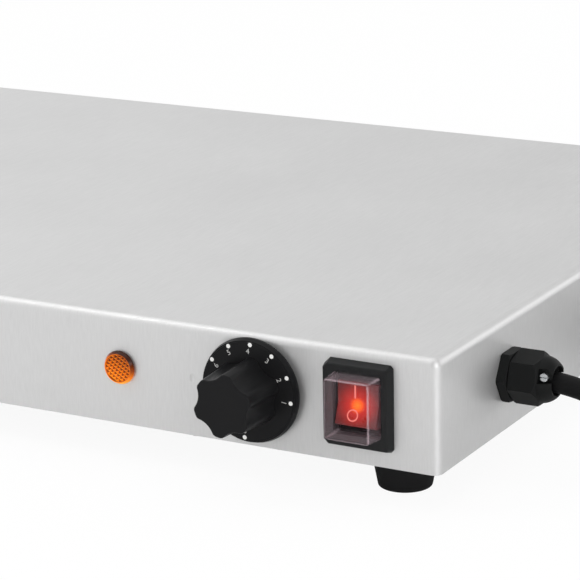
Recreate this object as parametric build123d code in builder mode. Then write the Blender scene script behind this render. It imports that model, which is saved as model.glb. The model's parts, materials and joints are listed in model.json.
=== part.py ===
from build123d import *
from math import cos, pi, radians, sin, tan
import os

# Stainless food-warming hot plate: a folded box with a flat heated top, a front panel with a rotary
# thermostat, a lit rocker switch and a pilot lamp, and a free mains cord from the right side.
# Millimetres. X runs right, Y runs back, Z runs up. The origin is on the table, midway between the
# two sides and midway between the knob's front face and the rear panel.

os.makedirs("parts", exist_ok=True)

# ---- driving dimensions ----

# folded cover and base
plate_width = 600.0
plate_depth = 380.0
body_height = 50.0
sheet = 1.0
bend_radius = 3.5
flange_width = 14.0
flange_end_gap = 15.5
base_inset = 5.0

# feet
foot_height = 15.0
foot_top_radius = 14.1
foot_base_radius = 11.6
foot_inset_x = 28.0
foot_inset_y = 25.0

# controls on the front panel, measured from the right side and down from the top
control_drop = 24.0
knob_from_side = 86.2
knob_stand_out = 28.0
switch_from_side = 35.4
lamp_from_side = 153.5
index_reach = 31.0
index_radius = 1.2
index_depth = 0.4
index_stretch = 1.75

# cable gland in the right side
gland_from_front = 67.0
gland_drop = 25.3

# mains cord
cord_diameter = 9.0
coil_centre = (366.0, 95.0)

# places worked out from the driving dimensions
base_top = foot_height + sheet
body_top = base_top + body_height
panel_y = knob_stand_out - (plate_depth + knob_stand_out) / 2
rear_y = panel_y + plate_depth
middle_y = (panel_y + rear_y) / 2
side_x = plate_width / 2
control_z = body_top - control_drop
knob_x = side_x - knob_from_side
switch_x = side_x - switch_from_side
lamp_x = side_x - lamp_from_side
gland_y = panel_y + gland_from_front
gland_z = body_top - gland_drop
foot_places = {
    "front_left": (foot_inset_x - side_x, panel_y + foot_inset_y),
    "front_right": (side_x - foot_inset_x, panel_y + foot_inset_y),
    "rear_left": (foot_inset_x - side_x, rear_y - foot_inset_y),
    "rear_right": (side_x - foot_inset_x, rear_y - foot_inset_y),
}

# planes whose sketches stand on the outer faces of the panels, with their normals pointing out
knob_plane = Plane((knob_x, panel_y, control_z), x_dir=(1, 0, 0), z_dir=(0, -1, 0))
switch_plane = Plane((switch_x, panel_y, control_z), x_dir=(1, 0, 0), z_dir=(0, -1, 0))
frame_plane = Plane((switch_x - 1.0, panel_y, control_z), x_dir=(1, 0, 0), z_dir=(0, -1, 0))
cap_plane = Plane((switch_x, panel_y, control_z + 0.9), x_dir=(1, 0, 0), z_dir=(0, -1, 0))
lamp_plane = Plane((lamp_x, panel_y, control_z), x_dir=(1, 0, 0), z_dir=(0, -1, 0))
gland_plane = Plane((side_x, gland_y, gland_z), x_dir=(0, 1, 0), z_dir=(1, 0, 0))


def turned(plane):
    """The plane that holds the axis of a turned piece: local X is the radius, local Y the height."""
    return Plane(plane.origin, x_dir=plane.x_dir, z_dir=-plane.y_dir)


def corner_radii(points):
    """The largest bend at each inner corner of a route: 0.45 of the shorter run, over tan(half turn)."""
    radii = []
    for before, here, after in zip(points, points[1:], points[2:]):
        run_in = Vector(*here) - Vector(*before)
        run_out = Vector(*after) - Vector(*here)
        half_turn = radians(run_in.get_angle(run_out)) / 2
        radii.append(0.45 * min(run_in.length, run_out.length) / tan(half_turn))
    return radii


# ---- folded cover ----

switch_hole = (22.4, 28.4)
knob_hole_radius = 5.2
thermostat_screw_spread = 28.0
lamp_hole_radius = 6.1
gland_hole_radius = 9.3
base_screw_hole = 1.6

base_screw_places = [(x, y) for y in (panel_y + 8, rear_y - 8) for x in (-180, 0, 180)]
base_screw_places += [(x, y) for x in (8 - side_x, side_x - 8) for y in (middle_y - 60, middle_y + 60)]

with BuildPart() as top_cover:
    with BuildSketch(Plane.XY.offset(base_top)):
        with Locations((0, middle_y)):
            RectangleRounded(plate_width, plate_depth, bend_radius)
    extrude(amount=body_height)
    fillet(top_cover.faces().sort_by(Axis.Z)[-1].edges(), bend_radius)
    offset(amount=-sheet, openings=top_cover.faces().sort_by(Axis.Z)[0])
    # return flanges that the base is screwed to
    with BuildSketch(Plane.XY.offset(base_top)):
        for edge_y in (panel_y + flange_width / 2, rear_y - flange_width / 2):
            with Locations((0, edge_y)):
                Rectangle(plate_width - 2 * flange_end_gap, flange_width - sheet)
        for edge_x in (flange_width / 2 - side_x, side_x - flange_width / 2):
            with Locations((edge_x, middle_y)):
                Rectangle(flange_width - sheet, plate_depth - 2 * flange_end_gap)
    extrude(amount=sheet)
    with BuildSketch(Plane.XY.offset(base_top)):
        with Locations(*base_screw_places):
            Circle(base_screw_hole)
    extrude(amount=sheet, mode=Mode.SUBTRACT)
    # front panel cut-outs
    with BuildSketch(switch_plane):
        Rectangle(*switch_hole)
    extrude(amount=-sheet, mode=Mode.SUBTRACT)
    with BuildSketch(knob_plane):
        Circle(knob_hole_radius)
        with GridLocations(thermostat_screw_spread, 1, 2, 1):
            Circle(2.15)
    extrude(amount=-sheet, mode=Mode.SUBTRACT)
    with BuildSketch(lamp_plane):
        Circle(lamp_hole_radius)
    extrude(amount=-sheet, mode=Mode.SUBTRACT)
    with BuildSketch(gland_plane):
        Circle(gland_hole_radius)
    extrude(amount=-sheet, mode=Mode.SUBTRACT)
    # punched index dimple beside the dial
    dimple_radius = (index_radius**2 + index_depth**2) / (2 * index_depth)
    dimple_centre = (knob_x - index_reach, panel_y + index_depth - dimple_radius, control_z)
    with BuildSketch(Plane(dimple_centre, x_dir=(1, 0, 0), z_dir=(0, -1, 0))):
        Ellipse(dimple_radius, dimple_radius * index_stretch)
        with Locations((-5, 0)):
            Rectangle(10, 20, mode=Mode.SUBTRACT)
    revolve(axis=Axis(dimple_centre, (0, 0, 1)), mode=Mode.SUBTRACT)

top_cover.part.label = "top_cover"
export_step(top_cover.part, "parts/top_cover.step")

# ---- bottom plate, its screws and the feet ----

vent_length = 40.0
vent_width = 4.0

with BuildPart() as bottom_plate:
    with BuildSketch(Plane.XY.offset(foot_height)):
        with Locations((0, middle_y)):
            RectangleRounded(plate_width - 2 * base_inset, plate_depth - 2 * base_inset, 4)
        with Locations(*foot_places.values()):
            Circle(2.7, mode=Mode.SUBTRACT)
        with Locations(*base_screw_places):
            Circle(2.1, mode=Mode.SUBTRACT)
        # vents below the controls and along the rear
        for vent_y, vent_x in ((panel_y + 60, 140), (panel_y + 60, -140), (rear_y - 70, 0)):
            with Locations((vent_x, vent_y)):
                with GridLocations(12, 1, 10, 1):
                    SlotOverall(vent_length, vent_width, rotation=90, mode=Mode.SUBTRACT)
    extrude(amount=sheet)

bottom_plate.part.label = "bottom_plate"
export_step(bottom_plate.part, "parts/bottom_plate.step")

with BuildPart() as bottom_screws:
    with BuildSketch(Plane.XY.offset(foot_height)):
        with Locations(*base_screw_places):
            Circle(3.4)
    extrude(amount=-1.3)
    chamfer(bottom_screws.faces().sort_by(Axis.Z)[0:10].edges(), 0.6)
    with BuildSketch(Plane.XY.offset(foot_height)):
        with Locations(*base_screw_places):
            Circle(base_screw_hole)
    extrude(amount=9)

bottom_screws.part.label = "bottom_screws"
export_step(bottom_screws.part, "parts/bottom_screws.step")

foot_bore = 2.7
foot_recess_radius = 7.0
foot_recess_depth = 7.0
foot_washer = 1.0

for place, (foot_x, foot_y) in foot_places.items():
    with BuildPart() as foot:
        with BuildSketch(Plane((foot_x, foot_y, 0), x_dir=(1, 0, 0), z_dir=(0, -1, 0))):
            with BuildLine():
                Polyline(
                    (foot_bore, foot_height),
                    (foot_top_radius, foot_height),
                    (foot_top_radius, foot_height - 1.5),
                    (foot_base_radius, 0),
                    (foot_recess_radius, 0),
                    (foot_recess_radius, foot_recess_depth),
                    (foot_bore, foot_recess_depth),
                    close=True,
                )
            make_face()
        revolve(axis=Axis((foot_x, foot_y, 0), (0, 0, 1)))
        ground_rims = foot.edges().group_by(Axis.Z)[0].sort_by(SortBy.LENGTH)
        fillet(ground_rims[-1], 1.0)
    foot.part.label = f"foot_{place}"
    export_step(foot.part, f"parts/foot_{place}.step")

with BuildPart() as foot_washers:
    with BuildSketch(Plane.XY.offset(foot_recess_depth - foot_washer)):
        with Locations(*foot_places.values()):
            Circle(foot_recess_radius - 0.2)
            Circle(foot_bore, mode=Mode.SUBTRACT)
    extrude(amount=foot_washer)

foot_washers.part.label = "foot_washers"
export_step(foot_washers.part, "parts/foot_washers.step")

foot_screw_radius = 2.5
foot_screw_end = base_top + 6

with BuildPart() as foot_screws:
    with BuildSketch(Plane.XY.offset(foot_recess_depth - foot_washer)):
        with Locations(*foot_places.values()):
            Circle(4.6)
    extrude(amount=-3)
    fillet(foot_screws.faces().sort_by(Axis.Z)[0:4].edges(), 1.2)
    with BuildSketch(Plane.XY.offset(foot_recess_depth - foot_washer)):
        with Locations(*foot_places.values()):
            Circle(foot_screw_radius)
    extrude(amount=foot_screw_end - foot_recess_depth + foot_washer)

foot_screws.part.label = "foot_screws"
export_step(foot_screws.part, "parts/foot_screws.step")

with BuildPart() as foot_nuts:
    with BuildSketch(Plane.XY.offset(base_top)):
        with Locations(*foot_places.values()):
            RegularPolygon(4.6, 6)
            Circle(foot_screw_radius, mode=Mode.SUBTRACT)
    extrude(amount=4)

foot_nuts.part.label = "foot_nuts"
export_step(foot_nuts.part, "parts/foot_nuts.step")

# ---- heated zone under the top ----

under_top = body_top - sheet
spreader_thickness = 2.0
spreader_size = (540.0, 290.0)
heat_y = panel_y + 221.0
element_radius = 3.25
element_runs = 10
element_pitch = 500.0 / (element_runs - 1)
element_front = heat_y - 107.0
element_rear = heat_y + 107.0
terminal_y = heat_y - 158.0
stud_radius = 2.0
stud_places = [(x, heat_y + y) for x in (-4 * element_pitch, 0, 4 * element_pitch) for y in (-95, 0, 95)]

spreader_z = under_top - spreader_thickness
element_z = spreader_z - element_radius - 0.05
clamp_top = element_z - element_radius - 0.05
clamp_thickness = 1.5
nut_height = 3.2
shield_sheet = 0.8
shield_z = under_top - 28.2

with BuildPart() as heat_spreader:
    with BuildSketch(Plane.XY.offset(spreader_z)):
        with Locations((0, heat_y)):
            Rectangle(*spreader_size)
        with Locations(*stud_places):
            Circle(2.6, mode=Mode.SUBTRACT)
    extrude(amount=spreader_thickness)

heat_spreader.part.label = "heat_spreader"
export_step(heat_spreader.part, "parts/heat_spreader.step")

# one tube bent to and fro, with both ends carried forward to the terminals
run_xs = [element_pitch * (i - (element_runs - 1) / 2) for i in range(element_runs)]
with BuildPart() as heating_element:
    with BuildLine() as element_path:
        Line((run_xs[0], terminal_y, element_z), (run_xs[0], element_front, element_z))
        for i, run_x in enumerate(run_xs):
            Line((run_x, element_front, element_z), (run_x, element_rear, element_z))
            if i < element_runs - 1:
                rear = i % 2 == 0
                bend_y = element_rear if rear else element_front
                reach = element_pitch / 2 if rear else -element_pitch / 2
                ThreePointArc(
                    (run_x, bend_y, element_z),
                    (run_x + element_pitch / 2, bend_y + reach, element_z),
                    (run_x + element_pitch, bend_y, element_z),
                )
        Line((run_xs[-1], element_front, element_z), (run_xs[-1], terminal_y, element_z))
    with BuildSketch(Plane((run_xs[0], terminal_y, element_z), x_dir=(1, 0, 0), z_dir=(0, 1, 0))):
        Circle(element_radius)
    sweep()

heating_element.part.label = "heating_element"
export_step(heating_element.part, "parts/heating_element.step")

with BuildPart() as element_clamps:
    with BuildSketch(Plane.XY.offset(clamp_top)):
        for clamp_y in (-95, 0, 95):
            with Locations((0, heat_y + clamp_y)):
                SlotOverall(530, 15)
        with Locations(*stud_places):
            Circle(2.3, mode=Mode.SUBTRACT)
    extrude(amount=-clamp_thickness)

element_clamps.part.label = "element_clamps"
export_step(element_clamps.part, "parts/element_clamps.step")

with BuildPart() as weld_studs:
    with BuildSketch(Plane.XY.offset(under_top)):
        with Locations(*stud_places):
            Circle(stud_radius)
    extrude(amount=shield_z - under_top - 6)

weld_studs.part.label = "weld_studs"
export_step(weld_studs.part, "parts/weld_studs.step")

with BuildPart() as clamp_nuts:
    with BuildSketch(Plane.XY.offset(clamp_top - clamp_thickness)):
        with Locations(*stud_places):
            RegularPolygon(4.0, 6)
            Circle(stud_radius, mode=Mode.SUBTRACT)
    extrude(amount=-nut_height)

clamp_nuts.part.label = "clamp_nuts"
export_step(clamp_nuts.part, "parts/clamp_nuts.step")

with BuildPart() as heat_shield:
    with BuildSketch(Plane.XY.offset(shield_z)):
        with Locations((0, heat_y)):
            Rectangle(spreader_size[0] + 6, spreader_size[1] + 2)
    extrude(amount=under_top - shield_z - 2.5)
    with BuildSketch(Plane.XY.offset(shield_z + shield_sheet)):
        with Locations((0, heat_y)):
            Rectangle(spreader_size[0] + 6 - 2 * shield_sheet, spreader_size[1] + 2 - 2 * shield_sheet)
    extrude(amount=under_top - shield_z, mode=Mode.SUBTRACT)
    with BuildSketch(Plane.XY.offset(shield_z)):
        with Locations(*stud_places):
            Circle(2.3)
    extrude(amount=shield_sheet, mode=Mode.SUBTRACT)
    # notches in the front wall for the two cold ends and the capillary
    with BuildSketch(Plane((0, heat_y, 0), x_dir=(1, 0, 0), z_dir=(0, -1, 0))):
        with Locations((run_xs[0], element_z), (run_xs[-1], element_z)):
            Rectangle(9, 9)
        with Locations((2 * element_pitch, element_z)):
            Rectangle(5, 9)
    extrude(amount=spreader_size[1], mode=Mode.SUBTRACT)

heat_shield.part.label = "heat_shield"
export_step(heat_shield.part, "parts/heat_shield.step")

blanket_bottom = shield_z + shield_sheet
blanket_top = clamp_top - clamp_thickness - nut_height - 0.3
with BuildPart() as insulation_blanket:
    with BuildSketch(Plane.XY.offset(blanket_bottom)):
        with Locations((0, heat_y)):
            Rectangle(spreader_size[0] - 4, spreader_size[1] - 6)
        with Locations(*stud_places):
            Circle(2.3, mode=Mode.SUBTRACT)
    extrude(amount=blanket_top - blanket_bottom)

insulation_blanket.part.label = "insulation_blanket"
export_step(insulation_blanket.part, "parts/insulation_blanket.step")

with BuildPart() as shield_nuts:
    with BuildSketch(Plane.XY.offset(shield_z)):
        with Locations(*stud_places):
            RegularPolygon(4.0, 6)
            Circle(stud_radius, mode=Mode.SUBTRACT)
    extrude(amount=-nut_height)

shield_nuts.part.label = "shield_nuts"
export_step(shield_nuts.part, "parts/shield_nuts.step")

# over-temperature cut-out: a disc on a flat flange, screwed up against the spreader
cutout_place = (3 * element_pitch, heat_y + 48)
with BuildPart() as thermal_cutout:
    with BuildSketch(Plane.XY.offset(spreader_z)):
        with Locations(cutout_place):
            SlotOverall(32, 10, rotation=90)
            Circle(8)
    extrude(amount=-1.2)
    with BuildSketch(Plane.XY.offset(spreader_z - 1.2)):
        with Locations(cutout_place):
            Circle(7.8)
    extrude(amount=-6)
    with BuildSketch(Plane.XY.offset(spreader_z - 7.2)):
        with Locations(cutout_place):
            with GridLocations(8, 1, 2, 1):
                Rectangle(0.8, 4.8)
    extrude(amount=-3)

thermal_cutout.part.label = "thermal_cutout"
export_step(thermal_cutout.part, "parts/thermal_cutout.step")

# ---- thermostat behind the knob ----

shaft_radius = 3.0
running_clearance = 0.06
bracket_thickness = 1.2
body_back = 32.0

with BuildPart() as thermostat_bracket:
    with BuildSketch(knob_plane.offset(-sheet)):
        RectangleRounded(44, 34, 2)
        Circle(shaft_radius + running_clearance, mode=Mode.SUBTRACT)
        with GridLocations(thermostat_screw_spread, 1, 2, 1):
            Circle(2.0, mode=Mode.SUBTRACT)
    extrude(amount=-bracket_thickness)
    # neck that guides the shaft through the panel
    with BuildSketch(knob_plane.offset(-sheet)):
        Circle(4.8)
        Circle(shaft_radius + running_clearance, mode=Mode.SUBTRACT)
    extrude(amount=2.6)

thermostat_bracket.part.label = "thermostat_bracket"
export_step(thermostat_bracket.part, "parts/thermostat_bracket.step")

with BuildPart() as thermostat_body:
    with BuildSketch(knob_plane.offset(-sheet - bracket_thickness)):
        RectangleRounded(38, 30, 3)
    extrude(amount=-(body_back - 9))
    fillet(thermostat_body.faces().sort_by(Axis.Y)[-1].edges(), 2)
    with BuildSketch(knob_plane.offset(-body_back + 6.8)):
        Circle(13)
    extrude(amount=-5)
    # well for the end of the shaft and the two tapped screw holes
    with BuildSketch(knob_plane.offset(-sheet - bracket_thickness)):
        Circle(shaft_radius + 0.4)
    extrude(amount=-12.5, mode=Mode.SUBTRACT)
    with BuildSketch(knob_plane.offset(-sheet - bracket_thickness)):
        with GridLocations(thermostat_screw_spread, 1, 2, 1):
            Circle(2.0)
    extrude(amount=-7, mode=Mode.SUBTRACT)

thermostat_body.part.label = "thermostat_body"
export_step(thermostat_body.part, "parts/thermostat_body.step")

tab_depth = 9.0
with BuildPart() as thermostat_terminals:
    with BuildSketch(knob_plane.offset(-body_back + 1.8)):
        with GridLocations(12, 1, 2, 1):
            Rectangle(0.8, 6.3)
    extrude(amount=-tab_depth)

thermostat_terminals.part.label = "thermostat_terminals"
export_step(thermostat_terminals.part, "parts/thermostat_terminals.step")

with BuildPart() as thermostat_screws:
    with BuildSketch(knob_plane):
        with GridLocations(thermostat_screw_spread, 1, 2, 1):
            Circle(3.6)
    extrude(amount=2.0)
    fillet(thermostat_screws.faces().sort_by(Axis.Y)[0:2].edges(), 1.0)
    with BuildSketch(knob_plane):
        with GridLocations(thermostat_screw_spread, 1, 2, 1):
            Circle(2.0)
    extrude(amount=-8)

thermostat_screws.part.label = "thermostat_screws"
export_step(thermostat_screws.part, "parts/thermostat_screws.step")

shaft_inner = 13.0
shaft_outer = 19.0
shaft_flat = 1.6
with BuildPart() as thermostat_shaft:
    with BuildSketch(knob_plane.offset(-shaft_inner)):
        Circle(shaft_radius)
    extrude(amount=shaft_inner + shaft_outer)
    chamfer(thermostat_shaft.faces().sort_by(Axis.Y)[0].edges(), 0.4)
    # flat that drives the knob
    with BuildSketch(knob_plane.offset(6)):
        with Locations((0, -shaft_flat - 3)):
            Rectangle(8, 6)
    extrude(amount=shaft_outer, mode=Mode.SUBTRACT)

thermostat_shaft.part.label = "thermostat_shaft"
export_step(thermostat_shaft.part, "parts/thermostat_shaft.step")

# capillary: thin copper tube from the body to the bulb under the spreader
bulb_radius = 3.0
bulb_x = 2 * element_pitch
bulb_z = spreader_z - bulb_radius - 0.05
bulb_front = heat_y - 80.0
bulb_length = 85.0
capillary_radius = 1.0

with BuildPart() as sensor_bulb:
    with BuildSketch(Plane((bulb_x, bulb_front, bulb_z), x_dir=(1, 0, 0), z_dir=(0, 1, 0))):
        Circle(bulb_radius)
    extrude(amount=bulb_length)
    fillet(sensor_bulb.edges(), 1.2)

sensor_bulb.part.label = "sensor_bulb"
export_step(sensor_bulb.part, "parts/sensor_bulb.step")

with BuildPart() as bulb_clips:
    for clip_y in (bulb_front + 18, bulb_front + 58):
        with BuildSketch(Plane((bulb_x, clip_y, bulb_z), x_dir=(1, 0, 0), z_dir=(0, -1, 0))):
            Circle(bulb_radius + 0.7)
            with Locations((0, bulb_radius - 0.35)):
                Rectangle(20, 0.7)
            Circle(bulb_radius + 0.02, mode=Mode.SUBTRACT)
            with Locations((0, bulb_radius + 0.5)):
                Rectangle(20, 0.9, mode=Mode.SUBTRACT)
        extrude(amount=-8)

bulb_clips.part.label = "bulb_clips"
export_step(bulb_clips.part, "parts/bulb_clips.step")

capillary_route = [
    (bulb_x, bulb_front, bulb_z),
    (bulb_x, heat_y - 150, bulb_z),
    (bulb_x + 8, heat_y - 168, bulb_z - 2),
    (bulb_x + 34, heat_y - 180, control_z + 13),
    (knob_x - 40, panel_y + 20, control_z),
    (knob_x - 19, panel_y + 20, control_z),
]
with BuildPart() as capillary_tube:
    with BuildLine() as capillary_path:
        FilletPolyline(*capillary_route, radius=[min(r, 14) for r in corner_radii(capillary_route)])
    capillary_line = capillary_path.wire()
    with BuildSketch(Plane(capillary_line @ 0, z_dir=capillary_line % 0)):
        Circle(capillary_radius)
    sweep()

capillary_tube.part.label = "capillary_tube"
export_step(capillary_tube.part, "parts/capillary_tube.step")

# ---- control knob ----

skirt_radius = 23.1
skirt_gap = 2.6
dial_height = 6.0
dial_radius = 21.8
skirt_web = 2.2
boss_radius = 6.0
knob_bore = shaft_radius + 0.02
grip_tip_radius = 14.0
grip_flare = 1.09
scallop_radius = 9.0
scallop_centre = 20.7
lobe_turn = 20.0
lobes = 6


def lobed_grip(plane, size):
    """The six-lobed outline of the grip at one height, with rounded lobe corners."""
    with BuildSketch(plane) as outline:
        Circle(grip_tip_radius * size)
        with PolarLocations(scallop_centre * size, lobes, start_angle=lobe_turn + 180 / lobes):
            Circle(scallop_radius * size, mode=Mode.SUBTRACT)
        fillet(outline.vertices(), 2.2 * size)
    return outline.sketch


grip_base = lobed_grip(knob_plane.offset(dial_height - 0.5), grip_flare)
grip_front = lobed_grip(knob_plane.offset(knob_stand_out), 1.0)

with BuildPart() as control_knob:
    # dial skirt: a turned disc with a bevelled rim and a hollow back
    with BuildSketch(turned(knob_plane)):
        with BuildLine():
            Polyline(
                (0, dial_height),
                (dial_radius, dial_height),
                (dial_radius + 0.15, dial_height - 0.4),
                (dial_radius + 0.6, dial_height - 0.4),
                (skirt_radius, dial_height - 2.4),
                (skirt_radius, skirt_gap),
                (skirt_radius - 1.6, skirt_gap),
                (skirt_radius - 1.6, dial_height - skirt_web),
                (boss_radius, dial_height - skirt_web),
                (boss_radius, 2.4),
                (0, 2.4),
                close=True,
            )
        make_face()
    revolve(axis=Axis(knob_plane.origin, knob_plane.z_dir))
    loft([grip_base.face(), grip_front.face()])
    fillet(control_knob.faces().sort_by(Axis.Y)[0].edges(), 0.7)
    # D-shaped bore for the shaft, with room for the spring on the flat
    with BuildSketch(knob_plane.offset(2.4)):
        Circle(knob_bore)
        with Locations((0, -shaft_flat - 0.5 - 3)):
            Rectangle(8, 6, mode=Mode.SUBTRACT)
        with Locations((0, -2.0)):
            Rectangle(3.6, 2)
    extrude(amount=shaft_outer - 2.4 + 0.5, mode=Mode.SUBTRACT)
    with BuildSketch(knob_plane.offset(2.4)):
        Circle(knob_bore)
    extrude(amount=3.6, mode=Mode.SUBTRACT)

control_knob.part.label = "control_knob"
export_step(control_knob.part, "parts/control_knob.step")

with BuildPart() as knob_spring:
    with BuildSketch(knob_plane.offset(7)):
        with Locations((0, -shaft_flat - 0.25)):
            Rectangle(3.4, 0.5)
    extrude(amount=10)

knob_spring.part.label = "knob_spring"
export_step(knob_spring.part, "parts/knob_spring.step")

# ---- rocker switch ----

frame_size = (32.1, 37.8)
frame_height = 4.4
frame_taper = 16
frame_upper_corner = 1.3
frame_lower_corner = 2.8
cap_size = (22.3, 26.9)
cap_front_size = (20.7, 26.3)
cap_height = 14.0
cap_wall = 0.8
housing_size = (21.4, 26.4)
housing_depth = 24.0
rocker_size = (18.9, 19.0)
well_size = (19.5, 23.0)
pivot_depth = 3.0
pivot_radius = 1.3
rocker_tilt = 10.0
panel_normal_in = -sheet

with BuildPart() as switch_frame:
    with BuildSketch(frame_plane):
        outline = Rectangle(*frame_size)
        corners = outline.vertices().sort_by(Axis.Z)
        chamfer(corners[:2], frame_lower_corner)
        chamfer(corners[2:], frame_upper_corner)
    extrude(amount=frame_height, taper=frame_taper)
    fillet(switch_frame.faces().sort_by(Axis.Y)[0].edges(), 0.6)
    with BuildSketch(cap_plane):
        RectangleRounded(cap_size[0] + 0.1, cap_size[1] + 0.1, 1.4)
    extrude(amount=frame_height, mode=Mode.SUBTRACT)
    with BuildSketch(switch_plane):
        Rectangle(housing_size[0] + 0.2, housing_size[1] + 0.2)
    extrude(amount=0.7, mode=Mode.SUBTRACT)

switch_frame.part.label = "switch_frame"
export_step(switch_frame.part, "parts/switch_frame.step")

with BuildPart() as switch_housing:
    # body through the panel, with a lip that stops it against the frame's floor
    with BuildSketch(switch_plane.offset(0.6)):
        RectangleRounded(*housing_size, 1.0)
    extrude(amount=-housing_depth)
    # snap wings behind the panel
    with BuildSketch(switch_plane.offset(panel_normal_in)):
        for wing in (-1, 1):
            with Locations((0, wing * (housing_size[1] / 2 + 1.1))):
                Rectangle(8, 2.2)
    extrude(amount=-5)
    with BuildSketch(switch_plane.offset(0.6)):
        Rectangle(*well_size)
    extrude(amount=-15, mode=Mode.SUBTRACT)
    # pivot holes in the two cheeks
    with BuildSketch(Plane((switch_x, panel_y + pivot_depth, control_z), x_dir=(0, 1, 0), z_dir=(1, 0, 0))):
        Circle(pivot_radius + running_clearance)
    extrude(amount=10.45, both=True, mode=Mode.SUBTRACT)

switch_housing.part.label = "switch_housing"
export_step(switch_housing.part, "parts/switch_housing.step")

with BuildPart() as switch_terminals:
    with BuildSketch(switch_plane.offset(0.6 - housing_depth)):
        with GridLocations(11, 14, 2, 2):
            Rectangle(0.8, 4.8)
    extrude(amount=-9)

switch_terminals.part.label = "switch_terminals"
export_step(switch_terminals.part, "parts/switch_terminals.step")

# The rocker is drawn level and then tipped about its pivot into the on position, top pressed in.
rocker_face = 7.5
rocker_dish = 1.6
rocker_skirt = 4.5
half_height = rocker_size[1] / 2
pivot_axis = Axis((switch_x, panel_y + pivot_depth, control_z), (1, 0, 0))
with BuildPart() as level_rocker:
    with BuildSketch(Plane((switch_x, panel_y + pivot_depth, control_z), x_dir=(0, -1, 0), z_dir=(-1, 0, 0))):
        with BuildLine():
            Line((rocker_face, half_height), (rocker_face - rocker_dish, 0))
            Line((rocker_face - rocker_dish, 0), (rocker_face, -half_height))
            Line((rocker_face, -half_height), (0.5, -half_height))
            Line((0.5, -half_height), (-rocker_skirt, -5))
            Line((-rocker_skirt, -5), (-rocker_skirt, 5))
            Line((-rocker_skirt, 5), (0.5, half_height))
            Line((0.5, half_height), (rocker_face, half_height))
        make_face()
    extrude(amount=rocker_size[0] / 2, both=True)
    fillet(level_rocker.edges().filter_by(Axis.X).group_by(Axis.Y)[0], 1.0)
    # hollow from behind, leaving the lit window
    with BuildSketch(Plane((switch_x, panel_y + pivot_depth, control_z), x_dir=(0, -1, 0), z_dir=(-1, 0, 0))):
        with Locations((-2.1, 0)):
            Rectangle(9.4, 9)
    extrude(amount=7.5, both=True, mode=Mode.SUBTRACT)
    # pivot pins
    with BuildSketch(Plane((switch_x, panel_y + pivot_depth, control_z), x_dir=(0, 1, 0), z_dir=(1, 0, 0))):
        Circle(pivot_radius)
    extrude(amount=10.3, both=True)
    with BuildSketch(Plane((switch_x, panel_y + pivot_depth, control_z), x_dir=(0, 1, 0), z_dir=(1, 0, 0))):
        Circle(pivot_radius + 0.01)
    extrude(amount=7.5, both=True, mode=Mode.SUBTRACT)

switch_rocker = level_rocker.part.rotate(pivot_axis, -rocker_tilt)
switch_rocker.label = "switch_rocker"
export_step(switch_rocker, "parts/switch_rocker.step")

with BuildPart() as switch_neon:
    with BuildSketch(switch_plane.offset(-14.4)):
        Circle(2.0)
    extrude(amount=11)
    fillet(switch_neon.faces().sort_by(Axis.Y)[0].edges(), 1.5)

switch_neon.part.label = "switch_neon"
export_step(switch_neon.part, "parts/switch_neon.step")

# clear splash cap: a thin moulded box seated in the frame, its front drawn in a little
cap_back = 0.7
cap_hollow = (cap_size[0] - 2 * cap_wall, cap_size[1] - 2 * cap_wall)
cap_front_hollow = (cap_front_size[0] - 2 * cap_wall, cap_front_size[1] - 2 * cap_wall)
with BuildPart() as switch_cap:
    with BuildSketch(cap_plane.offset(cap_back)):
        RectangleRounded(*cap_size, 1.4)
    extrude(amount=frame_height - cap_back)
    with BuildSketch(cap_plane.offset(frame_height)):
        RectangleRounded(*cap_size, 1.4)
    with BuildSketch(cap_plane.offset(cap_height)):
        RectangleRounded(*cap_front_size, 1.4)
    loft()
    fillet(switch_cap.faces().sort_by(Axis.Y)[0].edges(), 0.7)
    with BuildSketch(cap_plane.offset(cap_back)):
        RectangleRounded(*cap_hollow, 0.8)
    extrude(amount=frame_height - cap_back, mode=Mode.SUBTRACT)
    with BuildSketch(cap_plane.offset(frame_height)):
        RectangleRounded(*cap_hollow, 0.8)
    with BuildSketch(cap_plane.offset(cap_height - cap_wall)):
        RectangleRounded(*cap_front_hollow, 0.8)
    loft(mode=Mode.SUBTRACT)

switch_cap.part.label = "switch_cap"
export_step(switch_cap.part, "parts/switch_cap.step")

# ---- pilot lamp ----

lamp_radius = 7.75
lamp_rim = 1.4
lamp_height = 3.2
lamp_window = 6.6
barrel_radius = 5.9
barrel_depth = 22.0

with BuildPart() as lamp_lens:
    with BuildSketch(turned(lamp_plane)):
        with BuildLine():
            Polyline(
                (0, lamp_height - 0.5),
                (lamp_window - 0.6, lamp_height - 0.5),
                (lamp_window, lamp_height),
                (lamp_window + 0.4, lamp_height),
                (lamp_radius, lamp_rim),
                (lamp_radius, 0.6),
                (lamp_radius - 0.4, 0),
                (lamp_window - 1.6, 0),
                (lamp_window - 1.6, lamp_height - 1.6),
                (0, lamp_height - 1.6),
                close=True,
            )
        make_face()
    revolve(axis=Axis(lamp_plane.origin, lamp_plane.z_dir))

lamp_lens.part.label = "lamp_lens"
export_step(lamp_lens.part, "parts/lamp_lens.step")

with BuildPart() as lamp_body:
    with BuildSketch(lamp_plane):
        Circle(barrel_radius)
        Circle(barrel_radius - 1.2, mode=Mode.SUBTRACT)
    extrude(amount=-barrel_depth)
    with BuildSketch(lamp_plane.offset(-barrel_depth)):
        Circle(barrel_radius)
    extrude(amount=-3)

lamp_body.part.label = "lamp_body"
export_step(lamp_body.part, "parts/lamp_body.step")

with BuildPart() as lamp_clip:
    with BuildSketch(lamp_plane.offset(-sheet)):
        Circle(9.5)
        Circle(barrel_radius, mode=Mode.SUBTRACT)
        with PolarLocations(8, 4, start_angle=45):
            Rectangle(3, 1.2, mode=Mode.SUBTRACT)
    extrude(amount=-1.2)

lamp_clip.part.label = "lamp_clip"
export_step(lamp_clip.part, "parts/lamp_clip.step")

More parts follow.
